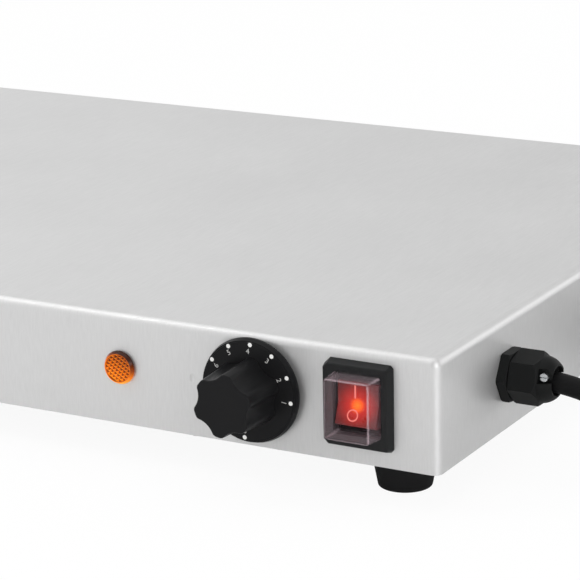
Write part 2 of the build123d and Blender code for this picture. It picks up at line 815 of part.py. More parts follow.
with BuildPart() as lamp_neon:
    with BuildSketch(lamp_plane.offset(-barrel_depth)):
        Circle(2.5)
    extrude(amount=19)
    fillet(lamp_neon.faces().sort_by(Axis.Y)[0].edges(), 2)

lamp_neon.part.label = "lamp_neon"
export_step(lamp_neon.part, "parts/lamp_neon.step")

# ---- cable gland ----

cord_radius = cord_diameter / 2
flange_vertex = 12.3
flange_length = 4.6
thread_radius = 9.2
thread_back = 12.0
thread_front = 15.0
nut_start = 5.0
nut_end = 17.6
nut_vertex = 12.0
nut_turn = 15.0
nut_face_radius = 10.3
dome_radius = 10.3
dome_end = 23.6
dome_end_radius = 7.3
mouth_radius = 6.5
bore_radius = 5.0
seal_radius = 7.4
seal_back = 8.0
cord_start = 8.0
notch_low = 0.9
notch_high = 6.9
notch_floor = 6.1
notch_start = 18.2
clamp_screw_x = side_x + 20.5
clamp_screw_z = gland_z + 3.4
clamp_screw_radius = 1.25


with BuildPart() as gland_body:
    with BuildSketch(gland_plane):
        RegularPolygon(flange_vertex, 6)
    extrude(amount=flange_length)
    # turned ends: a flat back rim and a bevelled front
    with BuildSketch(turned(gland_plane)):
        with BuildLine():
            Polyline(
                (0, 0),
                (flange_vertex - 0.4, 0),
                (flange_vertex, 0.8),
                (flange_vertex, flange_length - 0.9),
                (flange_vertex - 1.2, flange_length),
                (0, flange_length),
                close=True,
            )
        make_face()
    revolve(axis=Axis(gland_plane.origin, gland_plane.z_dir), mode=Mode.INTERSECT)
    with BuildSketch(gland_plane.offset(-thread_back)):
        Circle(thread_radius)
    extrude(amount=thread_back + thread_front)
    with BuildSketch(gland_plane.offset(-thread_back)):
        Circle(bore_radius)
    extrude(amount=thread_back + thread_front, mode=Mode.SUBTRACT)
    with BuildSketch(gland_plane.offset(thread_front - seal_back)):
        Circle(seal_radius)
    extrude(amount=seal_back, mode=Mode.SUBTRACT)

gland_body.part.label = "gland_body"
export_step(gland_body.part, "parts/gland_body.step")

with BuildPart() as gland_locknut:
    with BuildSketch(gland_plane.offset(-sheet)):
        RegularPolygon(12.7, 6)
        Circle(thread_radius, mode=Mode.SUBTRACT)
    extrude(amount=-5)

gland_locknut.part.label = "gland_locknut"
export_step(gland_locknut.part, "parts/gland_locknut.step")

with BuildPart() as gland_seal:
    with BuildSketch(gland_plane.offset(thread_front - seal_back)):
        Circle(seal_radius)
        Circle(cord_radius, mode=Mode.SUBTRACT)
    extrude(amount=seal_back)

gland_seal.part.label = "gland_seal"
export_step(gland_seal.part, "parts/gland_seal.step")

with BuildPart() as gland_nut:
    with BuildSketch(gland_plane.offset(nut_start)):
        RegularPolygon(nut_vertex, 6, rotation=nut_turn)
    extrude(amount=nut_end - nut_start)
    with BuildSketch(turned(gland_plane)):
        with BuildLine():
            Polyline(
                (0, nut_start),
                (nut_vertex - 0.6, nut_start),
                (nut_vertex, nut_start + 0.6),
                (nut_vertex, nut_end - nut_vertex + nut_face_radius),
                (nut_face_radius, nut_end),
                (0, nut_end),
                close=True,
            )
        make_face()
    revolve(axis=Axis(gland_plane.origin, gland_plane.z_dir), mode=Mode.INTERSECT)
    # clamping dome
    with BuildSketch(turned(gland_plane)):
        with BuildLine():
            Line((0, nut_end), (dome_radius, nut_end))
            Line((dome_radius, nut_end), (dome_radius - 0.2, nut_end + 1.2))
            ThreePointArc(
                (dome_radius - 0.2, nut_end + 1.2),
                (dome_radius - 1.0, nut_end + 3.4),
                (dome_end_radius, dome_end),
            )
            Line((dome_end_radius, dome_end), (0, dome_end))
            Line((0, dome_end), (0, nut_end))
        make_face()
    revolve(axis=Axis(gland_plane.origin, gland_plane.z_dir))
    # recess that takes the thread of the body
    with BuildSketch(gland_plane.offset(nut_start)):
        Circle(thread_radius)
    extrude(amount=thread_front - nut_start, mode=Mode.SUBTRACT)
    # bore that flares to the mouth
    with BuildSketch(turned(gland_plane)):
        with BuildLine():
            Polyline(
                (0, thread_front),
                (bore_radius, thread_front),
                (bore_radius, nut_end + 1.5),
                (mouth_radius - 0.2, nut_end + 3.4),
                (mouth_radius, dome_end),
                (0, dome_end),
                close=True,
            )
        make_face()
    revolve(axis=Axis(gland_plane.origin, gland_plane.z_dir), mode=Mode.SUBTRACT)
    # a notch on each flank, open towards the mouth, with the clamp screw standing on its floor
    with BuildSketch(gland_plane.offset(notch_start)):
        for flank in (-1, 1):
            with Locations((flank * (notch_floor + 4), (notch_low + notch_high) / 2)):
                Rectangle(8, notch_high - notch_low)
    extrude(amount=dome_end - notch_start, mode=Mode.SUBTRACT)
    with BuildSketch(Plane((clamp_screw_x, gland_y, clamp_screw_z), x_dir=(1, 0, 0), z_dir=(0, -1, 0))):
        Circle(clamp_screw_radius)
    extrude(amount=12, both=True, mode=Mode.SUBTRACT)

gland_nut.part.label = "gland_nut"
export_step(gland_nut.part, "parts/gland_nut.step")

with BuildPart() as gland_screws:
    for flank in (-1, 1):
        screw_plane = Plane(
            (clamp_screw_x, gland_y + flank * notch_floor, clamp_screw_z),
            x_dir=(1, 0, 0),
            z_dir=(0, flank, 0),
        )
        with BuildSketch(screw_plane):
            Circle(1.8)
        extrude(amount=1.9)
        with BuildSketch(screw_plane.offset(1.9)):
            Rectangle(4.0, 0.5)
        extrude(amount=-0.8, mode=Mode.SUBTRACT)
        with BuildSketch(screw_plane):
            Circle(clamp_screw_radius)
        extrude(amount=-1.7)

gland_screws.part.label = "gland_screws"
export_step(gland_screws.part, "parts/gland_screws.step")

# ---- mains cord ----

cord_pitch = cord_diameter + 0.3
coil_base = 0.6
layer_low = coil_base + cord_radius
layer_high = layer_low + cord_pitch
coil_radius = 50.0
inner_turn = coil_radius - cord_pitch / 2
outer_turn = coil_radius + cord_pitch / 2

# from inside the gland, out and down to the table and round to the coil's lower outer turn
cord_route = [
    (side_x + cord_start, gland_y, gland_z),
    (side_x + 29, gland_y, gland_z),
    (side_x + 51.5, gland_y + 1, gland_z - 8.4),
    (side_x + 73, gland_y + 6, gland_z - 19.5),
    (side_x + 92, gland_y + 16, gland_z - 29.8),
    (side_x + 107.5, gland_y + 31, layer_low + 0.7),
    (side_x + 117, gland_y + 49.5, layer_low - 0.5),
    (side_x + 121, gland_y + 69.5, layer_low - 0.1),
    (coil_centre[0] + outer_turn, coil_centre[1], layer_low),
]

# from the coil's upper outer turn, over the incoming cord and down to the plug
tail_angle = radians(300)
tail_start = (
    coil_centre[0] + outer_turn * cos(tail_angle),
    coil_centre[1] + outer_turn * sin(tail_angle),
    layer_high,
)
plug_axis = 13.0
plug_x = coil_centre[0] + 78.0
plug_start = coil_centre[1] + 28.0
tail_route = [
    tail_start,
    (tail_start[0] + 16, tail_start[1] + 8.5, layer_high + 3.4),
    (tail_start[0] + 32, tail_start[1] + 20, layer_high + 3.8),
    (tail_start[0] + 43.5, tail_start[1] + 34, layer_high + 1.4),
    (plug_x, plug_start - 22, plug_axis),
    (plug_x, plug_start, plug_axis),
]


def cord_tube(route):
    """Sweep the round cord along straight runs joined by tangent arcs, and report its bends."""
    radii = corner_radii(route)
    with BuildPart() as tube:
        with BuildLine() as path:
            FilletPolyline(*route, radius=radii)
        centreline = path.wire()
        with BuildSketch(Plane(centreline @ 0, z_dir=centreline % 0)):
            Circle(cord_radius)
        sweep()
    ratio = tube.part.volume / (pi * cord_radius**2 * centreline.length)
    print("bend radii", [round(r, 1) for r in radii])
    print("length", round(centreline.length, 1), "volume over section times length", round(ratio, 4))
    return tube.part


mains_cord = cord_tube(cord_route)
mains_cord.label = "mains_cord"
export_step(mains_cord, "parts/mains_cord.step")

plug_lead = cord_tube(tail_route)
plug_lead.label = "plug_lead"
export_step(plug_lead, "parts/plug_lead.step")

coil_width = 2 * cord_pitch
coil_height = layer_high + cord_radius - coil_base
with BuildPart() as cord_coil:
    with BuildSketch(Plane((coil_centre[0], coil_centre[1], 0), x_dir=(1, 0, 0), z_dir=(0, -1, 0))):
        with Locations((coil_radius, coil_base + coil_height / 2)):
            RectangleRounded(coil_width, coil_height, cord_radius)
    revolve(axis=Axis((coil_centre[0], coil_centre[1], 0), (0, 0, 1)))

cord_coil.part.label = "cord_coil"
export_step(cord_coil.part, "parts/cord_coil.step")

tie_angle = 14.0
tie_turn = 150.0
with BuildPart() as coil_tie:
    tie_direction = (cos(radians(tie_turn)), sin(radians(tie_turn)), 0)
    tie_normal = (sin(radians(tie_turn)), -cos(radians(tie_turn)), 0)
    with BuildSketch(Plane((coil_centre[0], coil_centre[1], 0), x_dir=tie_direction, z_dir=tie_normal)):
        with Locations((coil_radius, coil_base + coil_height / 2)):
            RectangleRounded(coil_width + 2 * coil_base, coil_height + 2 * coil_base, cord_radius + coil_base)
            RectangleRounded(coil_width, coil_height, cord_radius, mode=Mode.SUBTRACT)
    revolve(axis=Axis((coil_centre[0], coil_centre[1], 0), (0, 0, 1)), revolution_arc=tie_angle)

coil_tie.part.label = "coil_tie"
export_step(coil_tie.part, "parts/coil_tie.step")

relief_length = 26.0
plug_length = 34.0
plug_plane = Plane((plug_x, plug_start, plug_axis), x_dir=(-1, 0, 0), z_dir=(0, 1, 0))
with BuildPart() as plug_body:
    # tapered relief, shoulder and grip, then the face that carries the pins
    with BuildSketch(plug_plane):
        Circle(cord_radius + 1.2)
    with BuildSketch(plug_plane.offset(relief_length)):
        Circle(cord_radius + 2.6)
    loft()
    with BuildSketch(plug_plane.offset(relief_length)):
        RectangleRounded(17, 15, 6)
    with BuildSketch(plug_plane.offset(relief_length + 14)):
        RectangleRounded(27, 24, 7)
    loft()
    with BuildSketch(plug_plane.offset(relief_length + 14)):
        RectangleRounded(27, 24, 7)
    extrude(amount=plug_length - 14)
    fillet(plug_body.faces().sort_by(Axis.Y)[-1].edges(), 1.2)
    # grooves round the relief
    for groove in range(5):
        with BuildSketch(plug_plane.offset(4 + 4.4 * groove)):
            Circle(12)
            Circle(cord_radius + 0.6 + 0.3 * groove, mode=Mode.SUBTRACT)
        extrude(amount=1.6, mode=Mode.SUBTRACT)

plug_body.part.label = "plug_body"
export_step(plug_body.part, "parts/plug_body.step")

with BuildPart() as plug_pins:
    with BuildSketch(plug_plane.offset(relief_length + plug_length)):
        with Locations((-6.35, -3), (6.35, -3)):
            Rectangle(1.5, 6.3)
    extrude(amount=17)
    with BuildSketch(plug_plane.offset(relief_length + plug_length)):
        with Locations((0, 7)):
            Circle(2.4)
    extrude(amount=20)

plug_pins.part.label = "plug_pins"
export_step(plug_pins.part, "parts/plug_pins.step")

# ---- wiring inside the box ----

sheath_end = side_x - 38.0
block_centre = (side_x - 94.0, gland_y)
block_size = (32.0, 20.0)
block_height = 14.0
wire_radius = 1.2
pole_spacing = 8.0

with BuildPart() as cord_end:
    with BuildSketch(Plane((sheath_end, gland_y, gland_z), x_dir=(0, 1, 0), z_dir=(1, 0, 0))):
        Circle(cord_radius)
    extrude(amount=side_x + cord_start - sheath_end)

cord_end.part.label = "cord_end"
export_step(cord_end.part, "parts/cord_end.step")

with BuildPart() as terminal_block:
    with BuildSketch(Plane.XY.offset(base_top)):
        with Locations(block_centre):
            Rectangle(*block_size)
    extrude(amount=block_height)
    fillet(terminal_block.edges().filter_by(Axis.Z), 1.5)
    # screw wells of the two poles
    with BuildSketch(Plane.XY.offset(base_top + block_height)):
        with Locations(block_centre):
            with GridLocations(18, pole_spacing, 2, 2):
                Circle(2.2)
    extrude(amount=-5, mode=Mode.SUBTRACT)

terminal_block.part.label = "terminal_block"
export_step(terminal_block.part, "parts/terminal_block.step")

with BuildPart() as terminal_screws:
    with BuildSketch(Plane.XY.offset(base_top + block_height - 5)):
        with Locations(block_centre):
            with GridLocations(18, pole_spacing, 2, 2):
                Circle(1.9)
    extrude(amount=3)
    with BuildSketch(Plane.XY.offset(base_top + block_height - 2)):
        with Locations(block_centre):
            with GridLocations(18, pole_spacing, 2, 2):
                Rectangle(4.2, 0.6)
    extrude(amount=-0.8, mode=Mode.SUBTRACT)

terminal_screws.part.label = "terminal_screws"
export_step(terminal_screws.part, "parts/terminal_screws.step")

earth_place = (side_x - 62.0, panel_y + 34)
with BuildPart() as earth_stud:
    with BuildSketch(Plane.XY.offset(base_top)):
        with Locations(earth_place):
            Circle(5)
    extrude(amount=0.8)
    with BuildSketch(Plane.XY.offset(base_top + 0.8)):
        with Locations(earth_place):
            RegularPolygon(4.0, 6)
    extrude(amount=nut_height)
    with BuildSketch(Plane.XY.offset(base_top)):
        with Locations(earth_place):
            Circle(stud_radius)
    extrude(amount=9)

earth_stud.part.label = "earth_stud"
export_step(earth_stud.part, "parts/earth_stud.step")


def wire(route, bend=6.0):
    """One insulated wire along a route of straight runs with rounded corners."""
    with BuildPart() as run:
        with BuildLine() as path:
            FilletPolyline(*route, radius=[min(r, bend) for r in corner_radii(route)])
        centreline = path.wire()
        with BuildSketch(Plane(centreline @ 0, z_dir=centreline % 0)):
            Circle(wire_radius)
        sweep()
    return run.part


block_right = block_centre[0] + block_size[0] / 2
block_left = block_centre[0] - block_size[0] / 2
pole_z = base_top + 7
pole_ys = (gland_y - pole_spacing / 2, gland_y + pole_spacing / 2)
sheath_wires = ((-1.7, 1.2), (1.7, 1.2))
supply_routes = [
    [
        (sheath_end, gland_y + dy, gland_z + dz),
        (sheath_end - 12, gland_y + dy, gland_z + dz),
        (block_right + 12, pole_y, pole_z),
        (block_right, pole_y, pole_z),
    ]
    for (dy, dz), pole_y in zip(sheath_wires, pole_ys)
]
supply_wires = Compound(children=[wire(route) for route in supply_routes])
supply_wires.label = "supply_wires"
export_step(supply_wires, "parts/supply_wires.step")

earth_wire = wire(
    [
        (sheath_end, gland_y, gland_z - 2.2),
        (sheath_end - 8, gland_y, gland_z - 2.2),
        (earth_place[0] + 8, earth_place[1] + 12, base_top + 7),
        (earth_place[0] + 3.7, earth_place[1] + 4, base_top + 2.2),
    ]
)
earth_wire.label = "earth_wire"
export_step(earth_wire, "parts/earth_wire.step")

switch_tab_y = panel_y - 0.6 + housing_depth + 9
thermo_tab_y = panel_y + body_back - 1.8 + tab_depth
channel_y = thermo_tab_y + 9
control_routes = [
    # live pole to the switch
    [
        (block_left, pole_ys[0], pole_z),
        (block_left - 9, pole_ys[0], pole_z),
        (block_left - 10, channel_y - 1, pole_z + 9),
        (block_left + 8, channel_y - 3, pole_z + 11),
        (switch_x - 22, channel_y - 1, control_z - 6),
        (switch_x - 5.5, switch_tab_y + 9, control_z + 7),
        (switch_x - 5.5, switch_tab_y, control_z + 7),
    ],
    # switch to the thermostat
    [
        (switch_x + 5.5, switch_tab_y, control_z + 7),
        (switch_x + 5.5, switch_tab_y + 9, control_z + 7),
        (switch_x - 8, channel_y - 1, control_z + 15),
        (knob_x + 20, channel_y - 1, control_z + 13),
        (knob_x + 6, thermo_tab_y + 9, control_z),
        (knob_x + 6, thermo_tab_y, control_z),
    ],
]
control_wires = Compound(children=[wire(route) for route in control_routes])
control_wires.label = "control_wires"
export_step(control_wires, "parts/control_wires.step")

element_routes = [
    # thermostat to the left end of the element
    [
        (knob_x - 6, thermo_tab_y, control_z),
        (knob_x - 6, thermo_tab_y + 8, control_z),
        (knob_x - 30, channel_y + 2, control_z + 3),
        (knob_x - 180, channel_y, control_z + 1),
        (run_xs[0] + 26, channel_y - 2, control_z + 6),
        (run_xs[0], terminal_y - 10, element_z),
        (run_xs[0], terminal_y, element_z),
    ],
    # neutral pole to the right end of the element
    [
        (block_left, pole_ys[1], pole_z),
        (block_left - 18, pole_ys[1], pole_z),
        (block_left - 20, pole_ys[1], pole_z + 22),
        (block_left - 2, terminal_y + 2, element_z - 2),
        (run_xs[-1] - 14, terminal_y - 3, element_z + 2),
        (run_xs[-1], terminal_y - 10, element_z),
        (run_xs[-1], terminal_y, element_z),
    ],
]
element_wires = Compound(children=[wire(route) for route in element_routes])
element_wires.label = "element_wires"
export_step(element_wires, "parts/element_wires.step")

lamp_back = panel_y + barrel_depth + 3
lamp_routes = [
    [
        (lamp_x + side * 2.5, lamp_back, control_z),
        (lamp_x + side * 2.5, lamp_back + 10, control_z),
        (lamp_x + 8 + side * 2, lamp_back + 16, control_z - 14),
        (lamp_x + 10, gland_y + 6 * side - 8, pole_z - 1),
        (lamp_x + 18, gland_y + 6 * side - 6, pole_z - 4),
    ]
    for side in (-1, 1)
]
lamp_wires = Compound(children=[wire(route) for route in lamp_routes])
lamp_wires.label = "lamp_wires"
export_step(lamp_wires, "parts/lamp_wires.step")
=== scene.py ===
import json
import math

import bmesh
import bpy
from mathutils import Matrix, Vector


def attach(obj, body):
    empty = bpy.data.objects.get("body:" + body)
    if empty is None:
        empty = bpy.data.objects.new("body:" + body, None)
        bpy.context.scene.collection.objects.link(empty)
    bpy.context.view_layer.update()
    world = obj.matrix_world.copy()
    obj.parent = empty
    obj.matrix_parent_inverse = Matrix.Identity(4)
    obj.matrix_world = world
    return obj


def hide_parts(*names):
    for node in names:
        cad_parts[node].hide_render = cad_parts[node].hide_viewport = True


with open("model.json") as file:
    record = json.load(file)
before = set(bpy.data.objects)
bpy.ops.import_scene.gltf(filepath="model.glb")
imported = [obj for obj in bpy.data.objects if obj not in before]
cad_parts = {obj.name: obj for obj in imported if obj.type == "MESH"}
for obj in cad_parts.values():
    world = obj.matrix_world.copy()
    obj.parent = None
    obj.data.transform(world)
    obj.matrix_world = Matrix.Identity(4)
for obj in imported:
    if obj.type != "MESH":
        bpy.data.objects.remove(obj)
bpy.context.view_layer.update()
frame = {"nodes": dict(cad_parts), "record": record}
nodes = frame["nodes"]
scene = bpy.context.scene
scene.view_settings.view_transform = "Standard"
mm = 0.001
print("frame loaded with", len(nodes), "nodes")


def hexColour(code):
    # sRGB hex to linear
    channels = [int(code[i:i + 2], 16) / 255 for i in (0, 2, 4)]
    return (*[c / 12.92 if c <= 0.04045 else ((c + 0.055) / 1.055) ** 2.4 for c in channels], 1.0)


def add(tree, kind, settings=None, values=None, links=None):
    # one node with its settings, socket values and incoming links
    node = tree.nodes.new(kind)
    for name, value in (settings or {}).items():
        setattr(node, name, value)
    for name, value in (values or {}).items():
        node.inputs[name].default_value = value
    for name, source in (links or {}).items():
        tree.links.new(source, node.inputs[name])
    return node


def newMaterial(name):
    material = bpy.data.materials.new(name)
    material.use_nodes = True
    tree = material.node_tree
    tree.nodes.clear()
    out = add(tree, "ShaderNodeOutputMaterial")
    return material, tree, out


cameraView = {
    "place": (0.7409, -1.0790, 0.38875),
    "azimuth": 29.413,
    "elevation": 16.213,
    "roll": -1.214,
    "lens": 161.69,
}
cameraData = bpy.data.cameras.new("camera")
cameraData.sensor_width = 36
cameraData.lens = cameraView["lens"]
cameraData.clip_start = 0.05
cameraData.clip_end = 20
camera = bpy.data.objects.new("camera", cameraData)
scene.collection.objects.link(camera)
camera.matrix_world = (
    Matrix.Translation(cameraView["place"])
    @ Matrix.Rotation(math.radians(cameraView["azimuth"]), 4, "Z")
    @ Matrix.Rotation(math.radians(90 - cameraView["elevation"]), 4, "X")
    @ Matrix.Rotation(math.radians(cameraView["roll"]), 4, "Z")
)
scene.camera = camera
print("camera set")


cord = {
    "diameter": 9.0,
    "side": 300.0,
    "glandY": -109.0,
    "glandZ": 40.7,
    "coilX": 366.0,
    "coilY": 95.0,
    "outerTurn": 54.65,
    "innerTurn": 45.35,
    "lowLayer": 5.1,
    "highLayer": 14.4,
    "pointsPerTurn": 16,
    "laps": 3,
    "shiftStart": 300.0,
    "shiftBulge": 5.0,
    "stopShort": 0.6,  # of a step between points, before the last angle
    # steps from the gland's face out, down to the table and along it
    "run": [(8, 0, 0), (29, 0, 0), (51.5, 1, -8.4), (73, 6, -19.5), (92, 16, -29.8),
            (107.5, 31, -34.9), (117, 49.5, -36.1), (121, 69.5, -35.7)],
    # steps from the top of the coil, over the incoming stretch and down towards the plug
    "tail": [(0, 0, 0), (16, 8.5, 3.4), (32, 20, 3.8), (43.5, 34, 1.4)],
    "plugLead": 22.0,
    "plugX": 444.0,
    "plugY": 123.0,
    "plugZ": 13.0,
}


def stepsFrom(start, steps):
    return [tuple(at + by for at, by in zip(start, step)) for step in steps]


def cordRoute():
    low, high = cord["lowLayer"], cord["highLayer"]
    points = stepsFrom((cord["side"], cord["glandY"], cord["glandZ"]), cord["run"])
    # the coil: lower outer, lower inner, upper inner, upper outer, each shift late in its turn
    slots = [
        (cord["outerTurn"], low),
        (cord["innerTurn"], low),
        (cord["innerTurn"], high),
        (cord["outerTurn"], high),
    ]
    step = 360 / cord["pointsPerTurn"]
    widen = 1 / math.cos(math.radians(step / 2))  # the spline runs a little inside its points
    end = cord["laps"] * 360 + cord["shiftStart"] - step * cord["stopShort"]
    for count in range(int(end // step) + 1):
        lap, within = divmod(count * step, 360)
        lap = int(lap)
        radius, height = slots[lap]
        if within > cord["shiftStart"] and lap < cord["laps"]:
            share = (within - cord["shiftStart"]) / (360 - cord["shiftStart"])
            share = share * share * (3 - 2 * share)
            nextRadius, nextHeight = slots[lap + 1]
            bulge = -cord["shiftBulge"] * math.sin(math.pi * share) if lap == 1 else 0
            radius += (nextRadius - radius) * share + bulge
            height += (nextHeight - height) * share
        angle = math.radians(count * step)
        points.append((
            cord["coilX"] + radius * widen * math.cos(angle),
            cord["coilY"] + radius * widen * math.sin(angle),
            height,
        ))
    leave = math.radians(cord["shiftStart"])
    top = (
        cord["coilX"] + cord["outerTurn"] * math.cos(leave),
        cord["coilY"] + cord["outerTurn"] * math.sin(leave),
        high,
    )
    points += stepsFrom(top, cord["tail"])
    plug = (cord["plugX"], cord["plugY"], cord["plugZ"])
    points += stepsFrom(plug, [(0, -cord["plugLead"], 0), (0, 0, 0)])
    return points


def splineCurve(name, points, radius):
    data = bpy.data.curves.new(name, "CURVE")
    data.dimensions = "3D"
    line = data.splines.new("NURBS")
    line.points.add(len(points) - 1)
    for target, place in zip(line.points, points):
        target.co = (*[value * mm for value in place], 1)
        target.radius = radius * mm
    line.order_u = 3
    line.use_endpoint_u = True
    line.resolution_u = 8
    data.bevel_depth = 1.0  # the points carry the real radius, which keeps the curve's box true
    data.bevel_resolution = 6
    data.use_fill_caps = True
    obj = bpy.data.objects.new(name, data)
    scene.collection.objects.link(obj)
    return obj


mainsLead = splineCurve("mainsLead", cordRoute(), cord["diameter"] / 2)
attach(mainsLead, "root")
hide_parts("mains_cord", "cord_coil", "plug_lead")
[value * mm for value in cordRoute()[0]]
print("cord laid")


def pointInMm(tree, sizes):
    # object position divided by a pattern's sizes in millimetres
    coords = add(tree, "ShaderNodeTexCoord")
    return add(tree, "ShaderNodeVectorMath", {"operation": "MULTIPLY"},
               {1: [1 / (s * mm) for s in sizes]}, {0: coords.outputs["Object"]}).outputs[0]


def lyingFlat(tree):
    # 1 where the sheet lies flat, 0 where it stands up
    coords = add(tree, "ShaderNodeTexCoord")
    facing = add(tree, "ShaderNodeSeparateXYZ", links={0: coords.outputs["Normal"]})
    size = add(tree, "ShaderNodeMath", {"operation": "ABSOLUTE"}, links={0: facing.outputs["Z"]})
    return add(tree, "ShaderNodeMath", {"operation": "GREATER_THAN"}, {1: steel["flatFrom"]},
               {0: size.outputs[0]}).outputs[0]


def mottle(tree, shader, pattern, dark, light, roughness):
    # one pattern of 0 to 1 shades the colour from dark to light and the roughness from low to high
    # a Mix node takes numbers at 2 and 3, vectors at 4 and 5 and colours at 6 and 7
    colour = add(tree, "ShaderNodeMix", {"data_type": "RGBA"},
                 {6: hexColour(dark), 7: hexColour(light)}, {"Factor": pattern})
    rough = add(tree, "ShaderNodeMapRange", values={
        "To Min": roughness[0], "To Max": roughness[1]}, links={"Value": pattern})
    tree.links.new(colour.outputs[2], shader.inputs["Base Color"])
    tree.links.new(rough.outputs["Result"], shader.inputs["Roughness"])


steel = {
    # ferritic sheet with a belt-brushed face: a soft sheen, with short streaks that run back along
    # the top and down the front and sides
    "light": "d8d8d8",
    "dark": "c6c6c6",
    "metallic": 0.7,  # the rest stands for the light that the fine scratches scatter
    "anisotropic": 0.5,
    "roughness": (0.42, 0.52),
    "topGrain": (0.8, 11.0, 0.8),
    "sideGrain": (0.8, 0.8, 7.0),
    "grainReach": (-0.15, 1.15),
    "grainDepth": 0.004,
    "cloud": 70.0,
    "cloudShare": 0.35,
    "flatFrom": 0.7,
}


def brushedSteel():
    material, tree, out = newMaterial("brushed stainless steel")
    flat = lyingFlat(tree)
    along = add(tree, "ShaderNodeMix", {"data_type": "VECTOR"}, links={
        "Factor": flat,
        4: pointInMm(tree, steel["sideGrain"]),
        5: pointInMm(tree, steel["topGrain"]),
    })
    grain = add(tree, "ShaderNodeTexNoise", values={"Scale": 1.0, "Detail": 3.0, "Roughness": 0.6},
                links={"Vector": along.outputs[1]})
    streaks = add(tree, "ShaderNodeMapRange", values={
        "To Min": steel["grainReach"][0], "To Max": steel["grainReach"][1]},
        links={"Value": grain.outputs["Fac"]})
    cloud = add(tree, "ShaderNodeTexNoise", values={"Scale": 1.0, "Detail": 2.0},
                links={"Vector": pointInMm(tree, (steel["cloud"],) * 3)})
    both = add(tree, "ShaderNodeMix", {"data_type": "FLOAT"}, {"Factor": steel["cloudShare"]},
               {2: streaks.outputs["Result"], 3: cloud.outputs["Fac"]})
    brushed = add(tree, "ShaderNodeMix", {"data_type": "VECTOR"}, {4: (0, 0, 1), 5: (0, 1, 0)},
                  {"Factor": flat})
    bump = add(tree, "ShaderNodeBump", values={
        "Strength": 1.0, "Distance": steel["grainDepth"] * mm},
        links={"Height": grain.outputs["Fac"]})
    shader = add(tree, "ShaderNodeBsdfPrincipled", values={
        "Metallic": steel["metallic"], "Anisotropic": steel["anisotropic"]},
        links={"Normal": bump.outputs["Normal"], "Tangent": brushed.outputs[1]})
    mottle(tree, shader, both.outputs[0], steel["dark"], steel["light"], steel["roughness"])
    tree.links.new(shader.outputs[0], out.inputs["Surface"])
    return material


metals = {
    # hot-dip galvanised sheet: grey, with a faint spangle
    "galvanised_sheet": {"name": "galvanised steel", "light": "b9bec1", "dark": "9aa1a5",
                         "roughness": (0.38, 0.55), "grain": 9.0, "cells": True},
    # bright zinc plate on turned and pressed hardware
    "zinc_hardware": {"name": "zinc-plated steel", "light": "cfd1d2", "dark": "b4b7ba",
                      "roughness": (0.20, 0.34), "grain": 1.6, "cells": False},
    # rolled plate, mill finish
    "spreader_aluminium": {"name": "mill-finish aluminium", "light": "d0d2d4", "dark": "b9bbbe",
                           "roughness": (0.32, 0.46), "grain": 4.0, "cells": False},
    # heater sheath, straw and grey from its first heats
    "element_sheath": {"name": "heat-tinted steel sheath", "light": "87817a", "dark": "5f5a56",
                       "roughness": (0.40, 0.58), "grain": 14.0, "cells": False},
    # tin over brass on blades and pins
    "plated_brass": {"name": "nickel-plated brass", "light": "d6d0be", "dark": "bdb59c",
                     "roughness": (0.22, 0.34), "grain": 2.0, "cells": False},
    "capillary_copper": {"name": "drawn copper", "light": "c98562", "dark": "a5603f",
                         "roughness": (0.26, 0.42), "grain": 3.0, "cells": False},
}


def bareMetal(made):
    material, tree, out = newMaterial(made["name"])
    point = pointInMm(tree, (made["grain"],) * 3)
    if made["cells"]:
        pattern = add(tree, "ShaderNodeTexVoronoi", values={"Scale": 1.0},
                      links={"Vector": point})
        share = add(tree, "ShaderNodeSeparateColor", links={0: pattern.outputs["Color"]}).outputs[0]
    else:
        share = add(tree, "ShaderNodeTexNoise", values={"Scale": 1.0, "Detail": 4.0},
                    links={"Vector": point}).outputs["Fac"]
    shader = add(tree, "ShaderNodeBsdfPrincipled", values={"Metallic": 1.0})
    mottle(tree, shader, share, made["dark"], made["light"], made["roughness"])
    tree.links.new(shader.outputs[0], out.inputs["Surface"])
    return material


